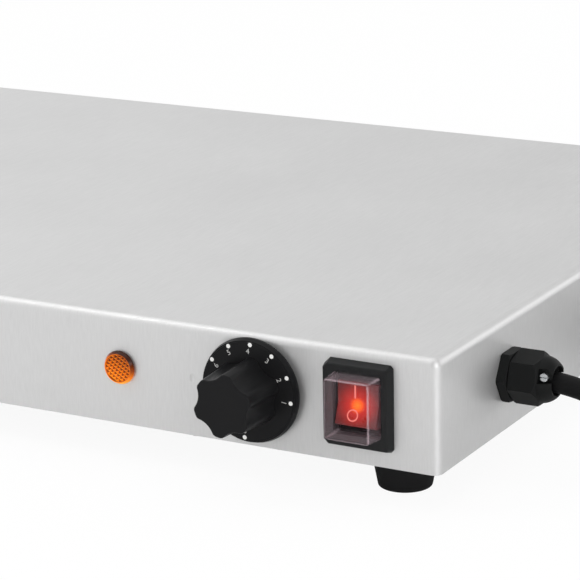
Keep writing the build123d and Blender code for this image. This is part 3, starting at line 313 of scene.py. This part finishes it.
mouldings = {
    # compression-moulded phenolic: near black, with a satin gloss
    "phenolic_black": {
        "name": "black phenolic", "light": "1d1d1e", "dark": "19191a",
        "ior": 1.55, "specular": 0.06, "roughness": (0.26, 0.34), "grain": 0.9, "depth": 0.006},
    "body_phenolic": {
        "name": "brown phenolic", "light": "3a302a", "dark": "2b2420",
        "ior": 1.55, "roughness": (0.50, 0.62), "grain": 0.8, "depth": 0.01},
    # glass-filled nylon with a spark-eroded mould texture
    "switch_black": {
        "name": "black nylon", "light": "141516", "dark": "0e0f10",
        "ior": 1.53, "specular": 0.2, "roughness": (0.42, 0.54), "grain": 0.5, "depth": 0.012},
    "gland_nylon": {
        "name": "gland nylon", "light": "141515", "dark": "0f1010",
        "ior": 1.53, "specular": 0.1, "roughness": (0.44, 0.58), "grain": 0.6, "depth": 0.010},
    "lamp_plastic": {
        "name": "natural nylon", "light": "e6dfcf", "dark": "d8cfba",
        "ior": 1.53, "roughness": (0.45, 0.55), "grain": 1.0, "depth": 0.005},
    # vulcanised rubber: dull, with a faint bloom
    "foot_rubber": {
        "name": "foot rubber", "light": "131314", "dark": "0c0c0d",
        "ior": 1.52, "specular": 0.2, "roughness": (0.58, 0.75), "grain": 0.7, "depth": 0.015},
    "seal_rubber": {
        "name": "seal rubber", "light": "242425", "dark": "19191a",
        "ior": 1.52, "roughness": (0.60, 0.75), "grain": 0.7, "depth": 0.010},
    # extruded sheath: soft sheen from the die
    "cord_rubber": {
        "name": "rubber sheath", "light": "0e0e0f", "dark": "09090a",
        "ior": 1.52, "specular": 0.12, "roughness": (0.50, 0.64), "grain": 1.2, "depth": 0.010},
    "tie_plastic": {
        "name": "woven nylon tie", "light": "2c2c2d", "dark": "181819",
        "ior": 1.53, "roughness": (0.75, 0.90), "grain": 0.8, "depth": 0.080},
    "terminal_ceramic": {
        "name": "glazed steatite", "light": "f1ede3", "dark": "e3dccd",
        "ior": 1.6, "roughness": (0.18, 0.30), "grain": 3.0, "depth": 0.004},
    "wire_silicone": {
        "name": "silicone rubber insulation", "light": "c2bcb2", "dark": "a9a299",
        "ior": 1.45, "roughness": (0.50, 0.62), "grain": 1.5, "depth": 0.006},
    "ceramic_wool": {
        "name": "ceramic wool blanket", "light": "efede6", "dark": "cfcbbf",
        "ior": 1.45, "roughness": (0.92, 1.00), "grain": 2.5, "depth": 0.600},
}


broadMottle = 14  # the broad mottle of a moulding, in grains


def moulded(made):
    material, tree, out = newMaterial(made["name"])
    fine = add(tree, "ShaderNodeTexNoise", values={"Scale": 1.0, "Detail": 3.0, "Roughness": 0.55},
               links={"Vector": pointInMm(tree, (made["grain"],) * 3)})
    broad = add(tree, "ShaderNodeTexNoise", values={"Scale": 1.0, "Detail": 2.0},
                links={"Vector": pointInMm(tree, (made["grain"] * broadMottle,) * 3)})
    both = add(tree, "ShaderNodeMix", {"data_type": "FLOAT"}, {"Factor": 0.5},
               {2: fine.outputs["Fac"], 3: broad.outputs["Fac"]})
    bump = add(tree, "ShaderNodeBump", values={"Strength": 1.0, "Distance": made["depth"] * mm},
               links={"Height": fine.outputs["Fac"]})
    shader = add(tree, "ShaderNodeBsdfPrincipled", values={
        "IOR": made["ior"], "Specular IOR Level": made.get("specular", 0.5)},
        links={"Normal": bump.outputs["Normal"]})
    mottle(tree, shader, both.outputs[0], made["dark"], made["light"], made["roughness"])
    tree.links.new(shader.outputs[0], out.inputs["Surface"])
    return material


def nearness(tree, place, reach):
    # 1 at a place on the object, in millimetres, falling to 0 at reach
    coords = add(tree, "ShaderNodeTexCoord")
    away = add(tree, "ShaderNodeVectorMath", {"operation": "DISTANCE"},
               {1: [p * mm for p in place]}, {0: coords.outputs["Object"]})
    return add(tree, "ShaderNodeMapRange", {"interpolation_type": "SMOOTHSTEP"},
               {"From Min": 0.0, "From Max": reach * mm, "To Min": 1.0, "To Max": 0.0},
               {"Value": away.outputs["Value"]}).outputs["Result"]


litRocker = {
    # red polycarbonate; the neon lamp behind it is painted in: a red glow and an orange spot as
    # emission, and painted shade that darkens the colour away from the lamp
    # near is the colour painted lit beside the lamp, far the painted shade away from it
    "near": "b41a12",
    "far": "5a0a0a",
    "glow": "8a1408",
    "spot": "ff7d08",
    "glowPlace": (264.3, -178.5, 42.4),
    "glowReach": 12.0,
    "spotReach": 4.2,
    "roughness": (0.24, 0.34),
    "grain": 2.0,
    "ior": 1.58,
    "specular": 0.25,
}


def rockerPlastic():
    material, tree, out = newMaterial("red polycarbonate")
    grain = add(tree, "ShaderNodeTexNoise", values={"Scale": 1.0, "Detail": 2.0},
                links={"Vector": pointInMm(tree, (litRocker["grain"],) * 3)})
    paintedGlowShare = nearness(tree, litRocker["glowPlace"], litRocker["glowReach"])
    spot = nearness(tree, litRocker["glowPlace"], litRocker["spotReach"])
    # painted glow: emission from the lamp's place, red, with an orange spot in the middle
    warm = add(tree, "ShaderNodeMix", {"data_type": "RGBA"},
               {6: hexColour("000000"), 7: hexColour(litRocker["glow"])}, {"Factor": paintedGlowShare})
    lit = add(tree, "ShaderNodeMix", {"data_type": "RGBA"}, {7: hexColour(litRocker["spot"])},
              {"Factor": spot, 6: warm.outputs[2]})
    # painted shade: the base colour darkens away from the lamp
    colour = add(tree, "ShaderNodeMix", {"data_type": "RGBA"},
                 {6: hexColour(litRocker["far"]), 7: hexColour(litRocker["near"])},
                 {"Factor": paintedGlowShare})
    rough = add(tree, "ShaderNodeMapRange", values={
        "To Min": litRocker["roughness"][0], "To Max": litRocker["roughness"][1]},
        links={"Value": grain.outputs["Fac"]})
    shader = add(tree, "ShaderNodeBsdfPrincipled", values={
        "IOR": litRocker["ior"], "Specular IOR Level": litRocker["specular"],
        "Emission Strength": 1.0}, links={
        "Base Color": colour.outputs[2],
        "Roughness": rough.outputs["Result"],
        "Emission Color": lit.outputs[2],
    })
    tree.links.new(shader.outputs[0], out.inputs["Surface"])
    return material


def boxEdges(tree, centre, half, width):
    # 1 along the edges of a box given in millimetres, 0 from a width inside them
    coords = add(tree, "ShaderNodeTexCoord")
    away = add(tree, "ShaderNodeVectorMath", {"operation": "SUBTRACT"},
               {1: [c * mm for c in centre]}, {0: coords.outputs["Object"]})
    size = add(tree, "ShaderNodeVectorMath", {"operation": "ABSOLUTE"},
               links={0: away.outputs[0]})
    # inputs 6, 7 and 8 are the vector and its range
    near = add(tree, "ShaderNodeMapRange",
               {"data_type": "FLOAT_VECTOR", "interpolation_type": "SMOOTHSTEP"},
               {7: [(h - width) * mm for h in half], 8: [h * mm for h in half]},
               {6: size.outputs[0]})
    sides = add(tree, "ShaderNodeSeparateXYZ", links={0: near.outputs["Vector"]})
    edge = None
    for first, second in (("X", "Y"), ("Y", "Z"), ("X", "Z")):
        both = add(tree, "ShaderNodeMath", {"operation": "MULTIPLY"},
                   links={0: sides.outputs[first], 1: sides.outputs[second]}).outputs[0]
        edge = both if edge is None else add(tree, "ShaderNodeMath", {"operation": "MAXIMUM"},
                                             links={0: edge, 1: both}).outputs[0]
    return edge


capPlastic = {
    # clear PVC splash cover: see-through face on and milky at a slant; the pale band along its
    # moulded edges is a painted highlight
    "clear": "f4dfe7",
    "milk": "eacdd8",
    "ior": 1.45,
    "edge": 0.5,
    "edgePower": 2.7,
    "cover": (0.004, 0.2),
    "centre": (264.6, -176.0, 42.9),
    "half": (10.2, 13.9, 13.1),
    "edgeWidth": 0.9,
    # how far the painted highlight along the edges covers the clear face
    "edgeHighlightCover": 0.30,
    "roughness": (0.06, 0.14),
    "ripple": 6.0,
    "rippleDepth": 0.02,
}


def clearPlastic():
    material, tree, out = newMaterial("clear PVC")
    ripple = add(tree, "ShaderNodeTexNoise", values={"Scale": 1.0, "Detail": 1.0},
                 links={"Vector": pointInMm(tree, (capPlastic["ripple"],) * 3)})
    bump = add(tree, "ShaderNodeBump", values={
        "Strength": 1.0, "Distance": capPlastic["rippleDepth"] * mm},
        links={"Height": ripple.outputs["Fac"]})
    facing = add(tree, "ShaderNodeLayerWeight", values={"Blend": capPlastic["edge"]},
                 links={"Normal": bump.outputs["Normal"]})
    edgeOn = add(tree, "ShaderNodeMath", {"operation": "POWER"}, {1: capPlastic["edgePower"]},
                 {0: facing.outputs["Facing"]})
    slanted = add(tree, "ShaderNodeMapRange", values={
        "To Min": capPlastic["cover"][0], "To Max": capPlastic["cover"][1]},
        links={"Value": edgeOn.outputs[0]})
    # painted highlight: the pale cover rises along the box's edges
    corners = boxEdges(tree, capPlastic["centre"], capPlastic["half"], capPlastic["edgeWidth"])
    paintedEdgeHighlight = add(tree, "ShaderNodeMath", {"operation": "MULTIPLY"},
                    {1: capPlastic["edgeHighlightCover"]}, {0: corners})
    share = add(tree, "ShaderNodeMath", {"operation": "MAXIMUM"},
                links={0: slanted.outputs["Result"], 1: paintedEdgeHighlight.outputs[0]})
    shader = add(tree, "ShaderNodeBsdfPrincipled", values={"IOR": capPlastic["ior"]},
                 links={"Normal": bump.outputs["Normal"], "Alpha": share.outputs[0]})
    mottle(tree, shader, ripple.outputs["Fac"], capPlastic["milk"], capPlastic["clear"],
           capPlastic["roughness"])
    tree.links.new(shader.outputs[0], out.inputs["Surface"])
    return material


lampPlastic = {
    # amber polycarbonate over a neon lamp, with its light and shade painted in: dark brown where a
    # facet or a place looks up and away, bright below, and the same colours glowing as emission
    "paintedLightTones": [(0.12, "f6a830"), (0.45, "da6c08"), (0.66, "7c3206"), (0.88, "2e1004")],
    "away": (0.42, 0.0, 0.91),
    "centre": (146.5, -178.0, 42.0),
    "reach": 9.0,
    "slant": 0.8,
    "placeShare": 0.4,
    "roughness": (0.12, 0.22),
    "grain": 1.6,
    "ior": 1.58,
    "specular": 0.2,
    # the painted colours also shine as emission
    "glow": 0.38,
}


def amberPlastic():
    material, tree, out = newMaterial("amber polycarbonate")
    grain = add(tree, "ShaderNodeTexNoise", values={"Scale": 1.0, "Detail": 2.0},
                links={"Vector": pointInMm(tree, (lampPlastic["grain"],) * 3)})
    coords = add(tree, "ShaderNodeTexCoord")
    # painted shade and light: facets that look up and away are darker, those that look down
    # brighter, and likewise from place to place across the lens
    facet = add(tree, "ShaderNodeVectorMath", {"operation": "DOT_PRODUCT"},
                {1: lampPlastic["away"]}, {0: coords.outputs["Normal"]})
    across = add(tree, "ShaderNodeVectorMath", {"operation": "DOT_PRODUCT"},
                 {1: lampPlastic["away"]}, {0: coords.outputs["Object"]})
    middle = sum(a * c for a, c in zip(lampPlastic["away"], lampPlastic["centre"])) * mm
    paintedFacetShade = add(tree, "ShaderNodeMapRange", values={
        "From Min": -lampPlastic["slant"], "From Max": lampPlastic["slant"]},
        links={"Value": facet.outputs["Value"]})
    placed = add(tree, "ShaderNodeMapRange", values={
        "From Min": middle - lampPlastic["reach"] * mm,
        "From Max": middle + lampPlastic["reach"] * mm},
        links={"Value": across.outputs["Value"]})
    both = add(tree, "ShaderNodeMix", {"data_type": "FLOAT"},
               {"Factor": lampPlastic["placeShare"]},
               {2: paintedFacetShade.outputs["Result"], 3: placed.outputs["Result"]})
    paintedTone = add(tree, "ShaderNodeValToRGB", links={"Fac": both.outputs[0]})
    stops = paintedTone.color_ramp.elements
    while len(stops) < len(lampPlastic["paintedLightTones"]):
        stops.new(0.5)
    for stop, (at, code) in zip(stops, lampPlastic["paintedLightTones"]):
        stop.position = at
        stop.color = hexColour(code)
    rough = add(tree, "ShaderNodeMapRange", values={
        "To Min": lampPlastic["roughness"][0], "To Max": lampPlastic["roughness"][1]},
        links={"Value": grain.outputs["Fac"]})
    shader = add(tree, "ShaderNodeBsdfPrincipled", values={
        "IOR": lampPlastic["ior"], "Specular IOR Level": lampPlastic["specular"],
        "Emission Strength": lampPlastic["glow"]}, links={
        "Base Color": paintedTone.outputs["Color"],
        "Roughness": rough.outputs["Result"],
        "Emission Color": paintedTone.outputs["Color"],
    })
    tree.links.new(shader.outputs[0], out.inputs["Surface"])
    return material


neonLamp = {
    # small glass neon lamps: pale glass with an orange glow inside
    "glass": ("ff9a50", "ffc890"),
    "glow": ("ff6a20", "ff9440"),
    "roughness": (0.05, 0.12),
    "grain": 3.0,
    "ior": 1.5,
}


def neonGlass():
    material, tree, out = newMaterial("neon lamp glass")
    grain = add(tree, "ShaderNodeTexNoise", values={"Scale": 1.0},
                links={"Vector": pointInMm(tree, (neonLamp["grain"],) * 3)})
    dim, bright = neonLamp["glow"]
    glow = add(tree, "ShaderNodeMix", {"data_type": "RGBA"},
               {6: hexColour(dim), 7: hexColour(bright)}, {"Factor": grain.outputs["Fac"]})
    shader = add(tree, "ShaderNodeBsdfPrincipled", values={
        "IOR": neonLamp["ior"], "Emission Strength": 1.0},
        links={"Emission Color": glow.outputs[2]})
    mottle(tree, shader, grain.outputs["Fac"], *neonLamp["glass"], neonLamp["roughness"])
    tree.links.new(shader.outputs[0], out.inputs["Surface"])
    return material


padPrint = {
    # pad-printed ink: flat and slightly uneven, thinner and greyer in the figures
    "dot": ("white pad-print ink", "e6e6e4", "f4f4f2"),
    "figure": ("thin white pad-print ink", "b2b2b0", "c6c6c4"),
    "rocker": ("pink pad-print ink", "ea7266", "f2867c"),
    "roughness": (0.45, 0.60),
    "grain": 0.6,
    "ior": 1.48,
}


def printInk(use):
    name, dark, light = padPrint[use]
    material, tree, out = newMaterial(name)
    grain = add(tree, "ShaderNodeTexNoise", values={"Scale": 1.0, "Detail": 3.0},
                links={"Vector": pointInMm(tree, (padPrint["grain"],) * 3)})
    shader = add(tree, "ShaderNodeBsdfPrincipled", values={"IOR": padPrint["ior"]})
    mottle(tree, shader, grain.outputs["Fac"], dark, light, padPrint["roughness"])
    tree.links.new(shader.outputs[0], out.inputs["Surface"])
    return material


slotMaterials = {"brushed_stainless": brushedSteel()}
slotMaterials.update({slot: bareMetal(made) for slot, made in metals.items()})
slotMaterials.update({slot: moulded(made) for slot, made in mouldings.items()})
slotMaterials["rocker_red"] = rockerPlastic()
slotMaterials["cap_clear"] = clearPlastic()
slotMaterials["lens_amber"] = amberPlastic()
slotMaterials["neon_glass"] = neonGlass()
dotInk = printInk("dot")
figureInk = printInk("figure")
rockerInk = printInk("rocker")
for part in frame["record"]["subparts"]:
    for socket in nodes[part["node"]].material_slots:
        socket.material = slotMaterials[part["material_slot"]]
mainsLead.data.materials.append(slotMaterials["cord_rubber"])
print("materials made")


def finishPiece(name, mesh, material, body, place=Matrix.Identity(4)):
    # bmesh to a piece whose place is in its mesh
    mesh.transform(place)
    bmesh.ops.recalc_face_normals(mesh, faces=mesh.faces)
    data = bpy.data.meshes.new(name)
    mesh.to_mesh(data)
    mesh.free()
    data.materials.append(material)
    obj = bpy.data.objects.new(name, data)
    scene.collection.objects.link(obj)
    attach(obj, body)
    return obj


def facingFront(x, y, z, turn=0.0):
    # local x right, local y up, local z towards the front; turn is counter-clockwise, in degrees
    return (
        Matrix.Translation((x * mm, y * mm, z * mm))
        @ Matrix.Rotation(math.radians(90), 4, "X")
        @ Matrix.Rotation(math.radians(turn), 4, "Z")
    )


def thicken(mesh, height):
    # raises a flat outline by a height in millimetres
    raised = bmesh.ops.extrude_face_region(mesh, geom=mesh.faces[:])["geom"]
    bmesh.ops.translate(mesh, verts=[v for v in raised if isinstance(v, bmesh.types.BMVert)],
                        vec=(0, 0, height * mm))
    return mesh


def disc(radius, height):
    mesh = bmesh.new()
    bmesh.ops.create_circle(mesh, cap_ends=True, segments=32, radius=radius * mm)
    return thicken(mesh, height)


dial = {
    "x": 213.7,
    "y": -182.0,
    "z": 42.2,
    "ink": 0.05,
    "dotRing": 20.8,
    "dotRadius": 0.95,
    "digitHeight": 2.3,
    "capShare": 0.7,  # of the font's size
    # the angle of each figure's dot, the figure's distance from the middle, and how much further
    # round the figure stands
    "figures": {
        "1": (353.4, 17.5, -1.5), "2": (24.1, 16.7, 0.8), "3": (55.0, 17.6, 1.5),
        "4": (85.4, 17.7, 2.9), "5": (115.3, 18.2, 3.2), "6": (145.2, 17.7, 2.6),
        "7": (175.6, 17.8, 1.0), "0": (264.5, 17.6, 0.0),
    },
}


def figureMesh(text, height, thickness):
    curve = bpy.data.curves.new("figure", "FONT")
    curve.body = text
    curve.size = height * mm / dial["capShare"]
    curve.align_x = "CENTER"
    curve.align_y = "CENTER"
    curve.extrude = thickness * mm / 2
    curve.resolution_u = 6
    holder = bpy.data.objects.new("figure", curve)
    data = bpy.data.meshes.new_from_object(holder)
    mesh = bmesh.new()
    mesh.from_mesh(data)
    bmesh.ops.remove_doubles(mesh, verts=mesh.verts, dist=0.00001)
    bpy.data.objects.remove(holder)
    bpy.data.curves.remove(curve)
    bpy.data.meshes.remove(data)
    return mesh


def onDial(ring, angle, turn=0.0):
    along = math.radians(angle)
    return facingFront(dial["x"] + ring * math.cos(along), dial["y"],
                       dial["z"] + ring * math.sin(along), turn)


for text, (angle, ring, further) in dial["figures"].items():
    finishPiece("dialDot" + text, disc(dial["dotRadius"], dial["ink"]), dotInk, "knob",
                onDial(dial["dotRing"], angle))
    finishPiece("dialFigure" + text, figureMesh(text, dial["digitHeight"], dial["ink"] * 2),
                figureInk, "knob", onDial(ring, angle + further, angle + further - 90))


rockerMarks = {
    "barX": 263.2,
    "ringX": 262.7,
    "pivotY": -173.0,
    "pivotZ": 42.0,
    "tilt": -10.0,
    "face": 7.5,
    "dish": 1.6,
    "half": 9.5,
    "ink": 0.06,
    "barAt": 5.1,
    "barSize": (0.75, 5.6),
    "ringAt": -4.9,
    "ringRadius": 2.3,
    "ringWidth": 0.55,
}


def onRocker(x, height):
    # the place of a mark on one half of the dished face, tipped with the rocker
    slope = math.atan2(rockerMarks["dish"], rockerMarks["half"])
    lean = slope if height > 0 else -slope
    sunk = rockerMarks["dish"] * (1 - abs(height) / rockerMarks["half"])
    pivot = Matrix.Translation((x * mm, rockerMarks["pivotY"] * mm, rockerMarks["pivotZ"] * mm))
    return (
        pivot
        @ Matrix.Rotation(math.radians(rockerMarks["tilt"]), 4, "X")
        @ Matrix.Translation((0, (sunk - rockerMarks["face"]) * mm, height * mm))
        @ Matrix.Rotation(math.radians(90) + lean, 4, "X")
    )


bar = bmesh.new()
bmesh.ops.create_cube(bar, size=mm)
bmesh.ops.scale(bar, verts=bar.verts, vec=(*rockerMarks["barSize"], rockerMarks["ink"] * 2))
finishPiece("rockerBar", bar, rockerInk, "rocker",
            onRocker(rockerMarks["barX"], rockerMarks["barAt"]))

ring = bmesh.new()
inner = rockerMarks["ringRadius"] - rockerMarks["ringWidth"] / 2
outer = rockerMarks["ringRadius"] + rockerMarks["ringWidth"] / 2
bmesh.ops.create_circle(ring, segments=48, radius=inner * mm)
grown = bmesh.ops.extrude_edge_only(ring, edges=ring.edges[:])["geom"]
bmesh.ops.scale(ring, verts=[v for v in grown if isinstance(v, bmesh.types.BMVert)],
                vec=(outer / inner, outer / inner, 1))
finishPiece("rockerRing", thicken(ring, rockerMarks["ink"]), rockerInk, "rocker",
            onRocker(rockerMarks["ringX"], rockerMarks["ringAt"]))
print("marks placed")


lens = {
    "x": 146.5,
    "y": -176.0,
    "z": 42.0,
    "profile": [(7.1, 0.0), (7.5, 0.5), (7.5, 1.1), (7.25, 1.35),
                (6.8, 2.4), (6.6, 2.6), (6.25, 2.6), (6.1, 2.35)],
    "windowRadius": 6.1,
    "windowLevel": 1.8,
    "overlap": 0.2,
    "pyramid": 1.7,
    "pyramidHeight": 0.7,
    "gridTurn": -30.0,
}


def lensRing():
    mesh = bmesh.new()
    corners = [mesh.verts.new((r * mm, 0, h * mm)) for r, h in lens["profile"]]
    edges = [mesh.edges.new(pair) for pair in zip(corners, corners[1:])]
    bmesh.ops.spin(mesh, geom=corners + edges, cent=(0, 0, 0), axis=(0, 0, 1), angle=math.tau,
                   steps=64, use_merge=True)
    for face in mesh.faces:
        face.smooth = True
    return mesh


def pyramidWindow():
    count = int(2 * lens["windowRadius"] / lens["pyramid"]) + 2
    reach = (lens["windowRadius"] + lens["overlap"]) * mm
    mesh = bmesh.new()
    bmesh.ops.create_grid(mesh, x_segments=count, y_segments=count,
                          size=count * lens["pyramid"] * mm / 2)
    far = [f for f in mesh.faces if f.calc_center_median().length > reach]
    bmesh.ops.delete(mesh, geom=far, context="FACES")
    bmesh.ops.poke(mesh, faces=mesh.faces[:], offset=lens["pyramidHeight"] * mm)
    bmesh.ops.rotate(mesh, verts=mesh.verts, cent=(0, 0, 0),
                     matrix=Matrix.Rotation(math.radians(lens["gridTurn"]), 3, "Z"))
    bmesh.ops.translate(mesh, verts=mesh.verts, vec=(0, 0, lens["windowLevel"] * mm))
    return mesh


lensPlace = facingFront(lens["x"], lens["y"], lens["z"])
lensWall = finishPiece("lampLensRim", lensRing(), slotMaterials["lens_amber"], "root", lensPlace)
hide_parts("lamp_lens")
finishPiece("lampLensWindow", pyramidWindow(), slotMaterials["lens_amber"], "root", lensPlace)
print("lamp lens made")


stageFloor = {
    "colour": "f4f4f4",
    "whiteShare": 0.93,
    "halfSize": 6.0,
    "drop": 0.0002,
}


def paperFloor():
    # pale paper sweep, white where it is looked at, still taking the shadow
    material, tree, out = newMaterial("matt paper")
    lightPath = add(tree, "ShaderNodeLightPath")
    matt = add(tree, "ShaderNodeBsdfDiffuse", values={"Color": hexColour(stageFloor["colour"])})
    white = add(tree, "ShaderNodeEmission", values={"Color": (1, 1, 1, 1), "Strength": 1.0})
    both = add(tree, "ShaderNodeMixShader", values={0: stageFloor["whiteShare"]})
    tree.links.new(matt.outputs[0], both.inputs[1])
    tree.links.new(white.outputs[0], both.inputs[2])
    pick = add(tree, "ShaderNodeMixShader", links={0: lightPath.outputs["Is Camera Ray"]})
    tree.links.new(matt.outputs[0], pick.inputs[1])
    tree.links.new(both.outputs[0], pick.inputs[2])
    tree.links.new(pick.outputs[0], out.inputs["Surface"])
    return material


floorMesh = bmesh.new()
bmesh.ops.create_grid(floorMesh, x_segments=1, y_segments=1, size=stageFloor["halfSize"])
bmesh.ops.translate(floorMesh, verts=floorMesh.verts, vec=(0, 0, -stageFloor["drop"]))
floorData = bpy.data.meshes.new("floor")
floorMesh.to_mesh(floorData)
floorMesh.free()
floorData.materials.append(paperFloor())
obj = bpy.data.objects.new("floor", floorData)
scene.collection.objects.link(obj)


studioSky = {
    # soft grey room, brighter on the left
    "base": 0.685,
    "left": 0.43,
    "leftFrom": -0.25,
    "leftFull": -0.85,
}
world = bpy.data.worlds.new("studio")
scene.world = world
world.use_nodes = True
worldTree = world.node_tree
worldTree.nodes.clear()
worldOut = add(worldTree, "ShaderNodeOutputWorld")
worldPath = add(worldTree, "ShaderNodeLightPath")
skyPoint = add(worldTree, "ShaderNodeTexCoord")
skyParts = add(worldTree, "ShaderNodeSeparateXYZ", links={0: skyPoint.outputs["Generated"]})
level = add(worldTree, "ShaderNodeMapRange", {"interpolation_type": "SMOOTHSTEP"}, {
    "From Min": studioSky["leftFull"],
    "From Max": studioSky["leftFrom"],
    "To Min": studioSky["base"] + studioSky["left"],
    "To Max": studioSky["base"],
}, {"Value": skyParts.outputs["X"]})
soft = add(worldTree, "ShaderNodeBackground", values={"Color": (1, 1, 1, 1)},
           links={"Strength": level.outputs[0]})
bright = add(worldTree, "ShaderNodeBackground", values={"Color": (1, 1, 1, 1), "Strength": 1.0})
worldMix = add(worldTree, "ShaderNodeMixShader", links={0: worldPath.outputs["Is Camera Ray"]})
worldTree.links.new(soft.outputs[0], worldMix.inputs[1])
worldTree.links.new(bright.outputs[0], worldMix.inputs[2])
worldTree.links.new(worldMix.outputs[0], worldOut.inputs["Surface"])


lamps = {
    "overhead": {"place": (0.0, 0.0, 2.2), "aim": (0.0, 0.0, 0.0), "size": 2.2, "power": 10},
    "highLeft": {"place": (-0.95, -0.56, 1.68), "aim": (0.0, -0.17, 0.06), "size": 0.3, "power": 4},
    "back": {"place": (0.55, 2.0, 1.0), "aim": (0.3, 0.0, 0.06), "size": 1.4, "power": 1.5},
    "backRight": {"place": (1.4, 1.6, 0.35), "aim": (0.3, 0.0, 0.04), "size": 1.5, "power": 7},
    "rightLow": {"place": (1.4, -0.95, 0.3), "aim": (0.3, -0.17, 0.04), "size": 1.2, "power": 10},
    "keyLeft": {"place": (-0.95, -0.8, 0.5), "aim": (-0.25, -0.3, 0.0), "size": 1.4, "power": 2},
}
for name, lamp in lamps.items():
    light = bpy.data.lights.new(name, "AREA")
    light.size = lamp["size"]
    light.energy = lamp["power"]
    obj = bpy.data.objects.new(name, light)
    scene.collection.objects.link(obj)
    obj.location = lamp["place"]
    towards = Vector(lamp["aim"]) - Vector(lamp["place"])
    obj.rotation_euler = towards.to_track_quat("-Z", "Y").to_euler()
print("stage and light set")
